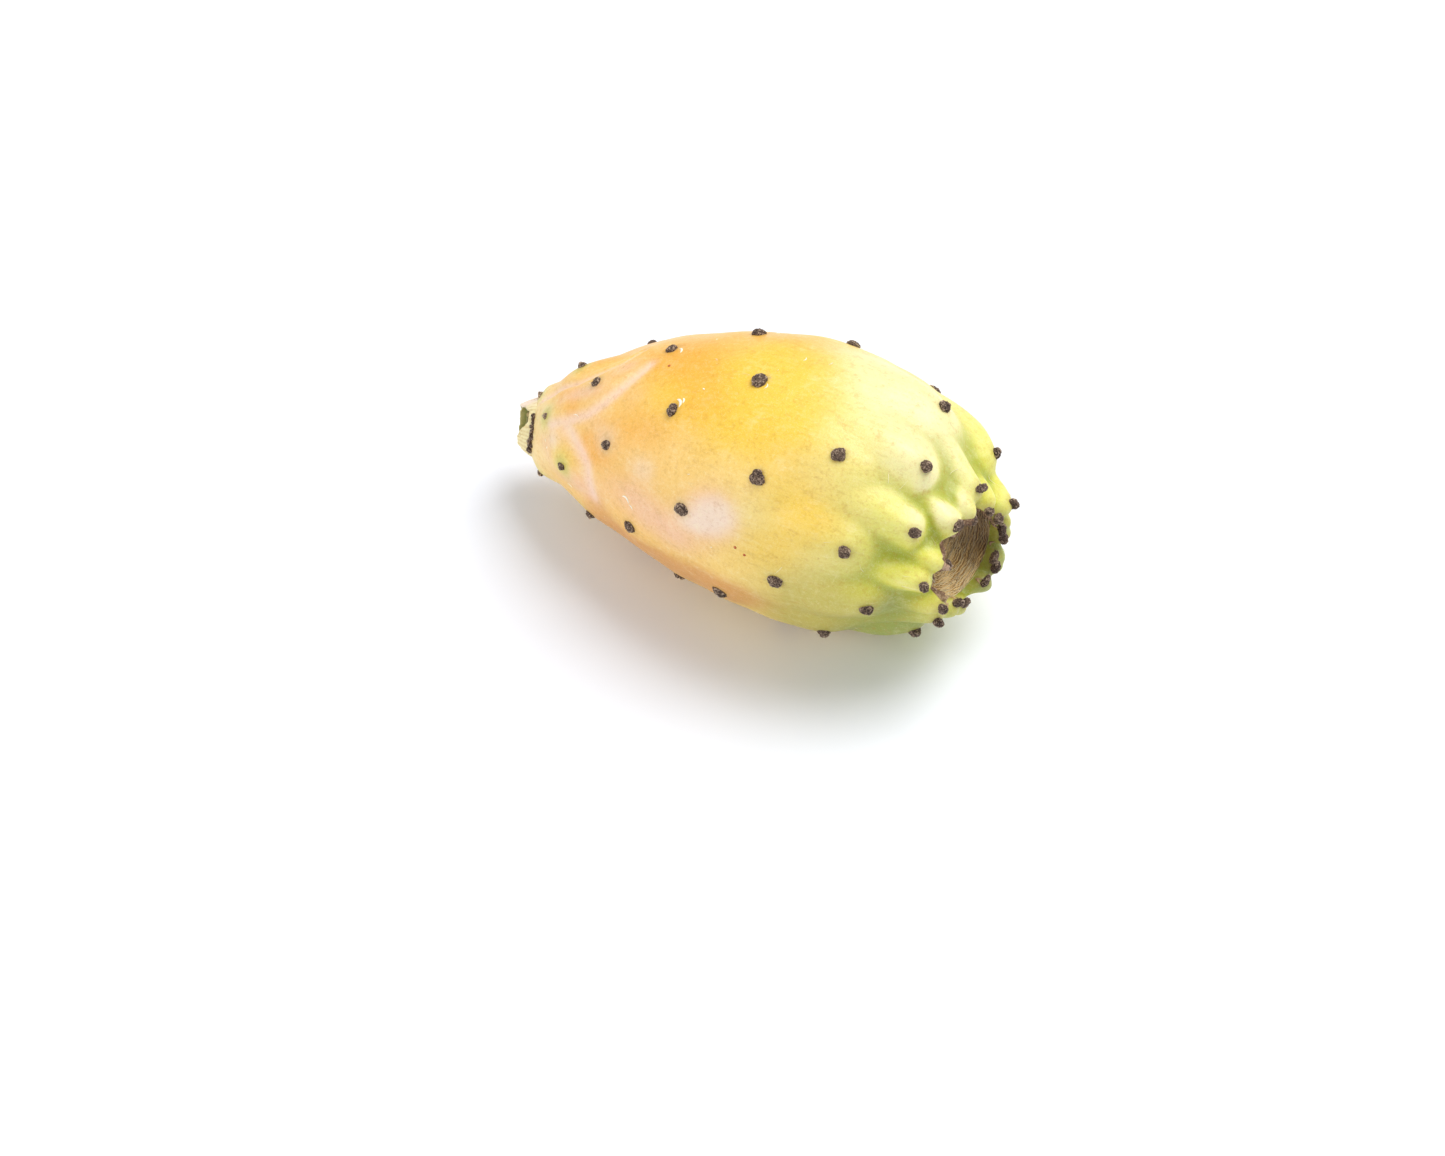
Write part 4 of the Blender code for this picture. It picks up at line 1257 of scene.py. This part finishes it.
spots = np.array([on_skin(at, math.radians(turn)) for at, turn, _ in SCABS])
tops = np.array([on_skin(at, math.radians(turn), MM) for at, turn, _ in SCABS])
radii = np.array(SCABS)[:, 2] * MM
scabs = new_piece(
    "scabs", spots, aim=tops - spots, lie=[(1, 0, 0)] * len(SCABS), long=radii * SCAB_STRETCH, wide=radii,
    tall=0 * radii + SCAB_HEIGHT, shade=0 * radii + 0.5,
)
scab_finish, wire = new_finish("red-brown scab")
here = wire.here()
fleck = wire.noise(here, 3000, 2)
red = wire.plain("a8481c")
red = red.tinted("d98a4a", fleck.step(0.45, 0.7))
close_finish(wire, Base_Color=red, Roughness=0.6 + (fleck - 0.5) * 0.2)
grow(scabs, cushion_tree, Facets=2, Lumps=0.06 * MM, Curls=0.04 * MM, Finish=scab_finish)
for piece in (glochids, scurf, scabs):
    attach(piece, "root")
    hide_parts("prickly_pear_fruit")

# The floor and the light: a plain white table, one broad soft lamp behind and above the fruit, one in
# front on the left, and a white room. The camera looks down on the fruit's front from its blossom side.
FLOOR_SIZE = 4.0
WIDTH_PX, HEIGHT_PX = 1445, 1156
PX_PER_METRE = 6090.0
AXIS_START_PX = (527.5, 423.8)
AZIMUTH = math.radians(27.84)
ELEVATION = math.radians(47.21)
DISTANCE = 0.95
SENSOR = 36.0
ROOM_LIGHT = 0.46

corners = ((-1, -1, 0), (1, -1, 0), (1, 1, 0), (-1, 1, 0))
floor = new_piece("floor", np.array(corners) * FLOOR_SIZE / 2, [], [(0, 1, 2, 3)])
floor_finish, wire = new_finish("white table")
here = wire.here()
mottle = wire.noise(here, 40, 3)
close_finish(wire, Base_Color=paint("f1f4fb"), Roughness=0.55 + (mottle - 0.5) * 0.1)
floor.data.materials.append(floor_finish)
floor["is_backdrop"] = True


def soft_lamp(name, place, aim, size, watts):
    """A square soft box that stands at a place and shines at a point."""
    lamp = bpy.data.lights.new(name, "AREA")
    lamp.shape = "SQUARE"
    lamp.size = size
    lamp.energy = watts
    made = bpy.data.objects.new(name, lamp)
    made.location = place
    made.rotation_euler = (Vector(aim) - Vector(place)).to_track_quat("-Z", "Y").to_euler()
    bpy.context.scene.collection.objects.link(made)
    return made


soft_lamp("top_lamp", (0.25, 0.38, 0.90), (0, 0, 0.02), 0.75, 9.5)
soft_lamp("front_lamp", (-0.65, -0.80, 0.45), (0, 0, 0.02), 0.6, 5.0)
world = bpy.data.worlds.new("white room")
world.use_nodes = True
world.node_tree.nodes["Background"].inputs["Color"].default_value = (1, 1, 1, 1)
world.node_tree.nodes["Background"].inputs["Strength"].default_value = ROOM_LIGHT
bpy.context.scene.world = world
bpy.context.scene.view_settings.view_transform = "Standard"

level = math.cos(ELEVATION)
back = np.array((math.sin(AZIMUTH) * level, -math.cos(AZIMUTH) * level, math.sin(ELEVATION)))
right = np.array((math.cos(AZIMUTH), math.sin(AZIMUTH), 0))
up = np.cross(back, right)
aim = AXIS_START + right * (WIDTH_PX / 2 - AXIS_START_PX[0]) / PX_PER_METRE
aim -= up * (HEIGHT_PX / 2 - AXIS_START_PX[1]) / PX_PER_METRE
middle = (np.array(cad_low) + np.array(cad_high)) / 2
aim += back * float((middle - aim) @ back)
lens = bpy.data.cameras.new("camera")
lens.sensor_width = SENSOR
lens.lens = SENSOR * DISTANCE * PX_PER_METRE / WIDTH_PX
lens.clip_start = 0.01
camera = bpy.data.objects.new("camera", lens)
camera.location = aim + back * DISTANCE
camera.rotation_euler = Vector(-back).to_track_quat("-Z", "Y").to_euler()
bpy.context.scene.collection.objects.link(camera)
bpy.context.scene.camera = camera

low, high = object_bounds()
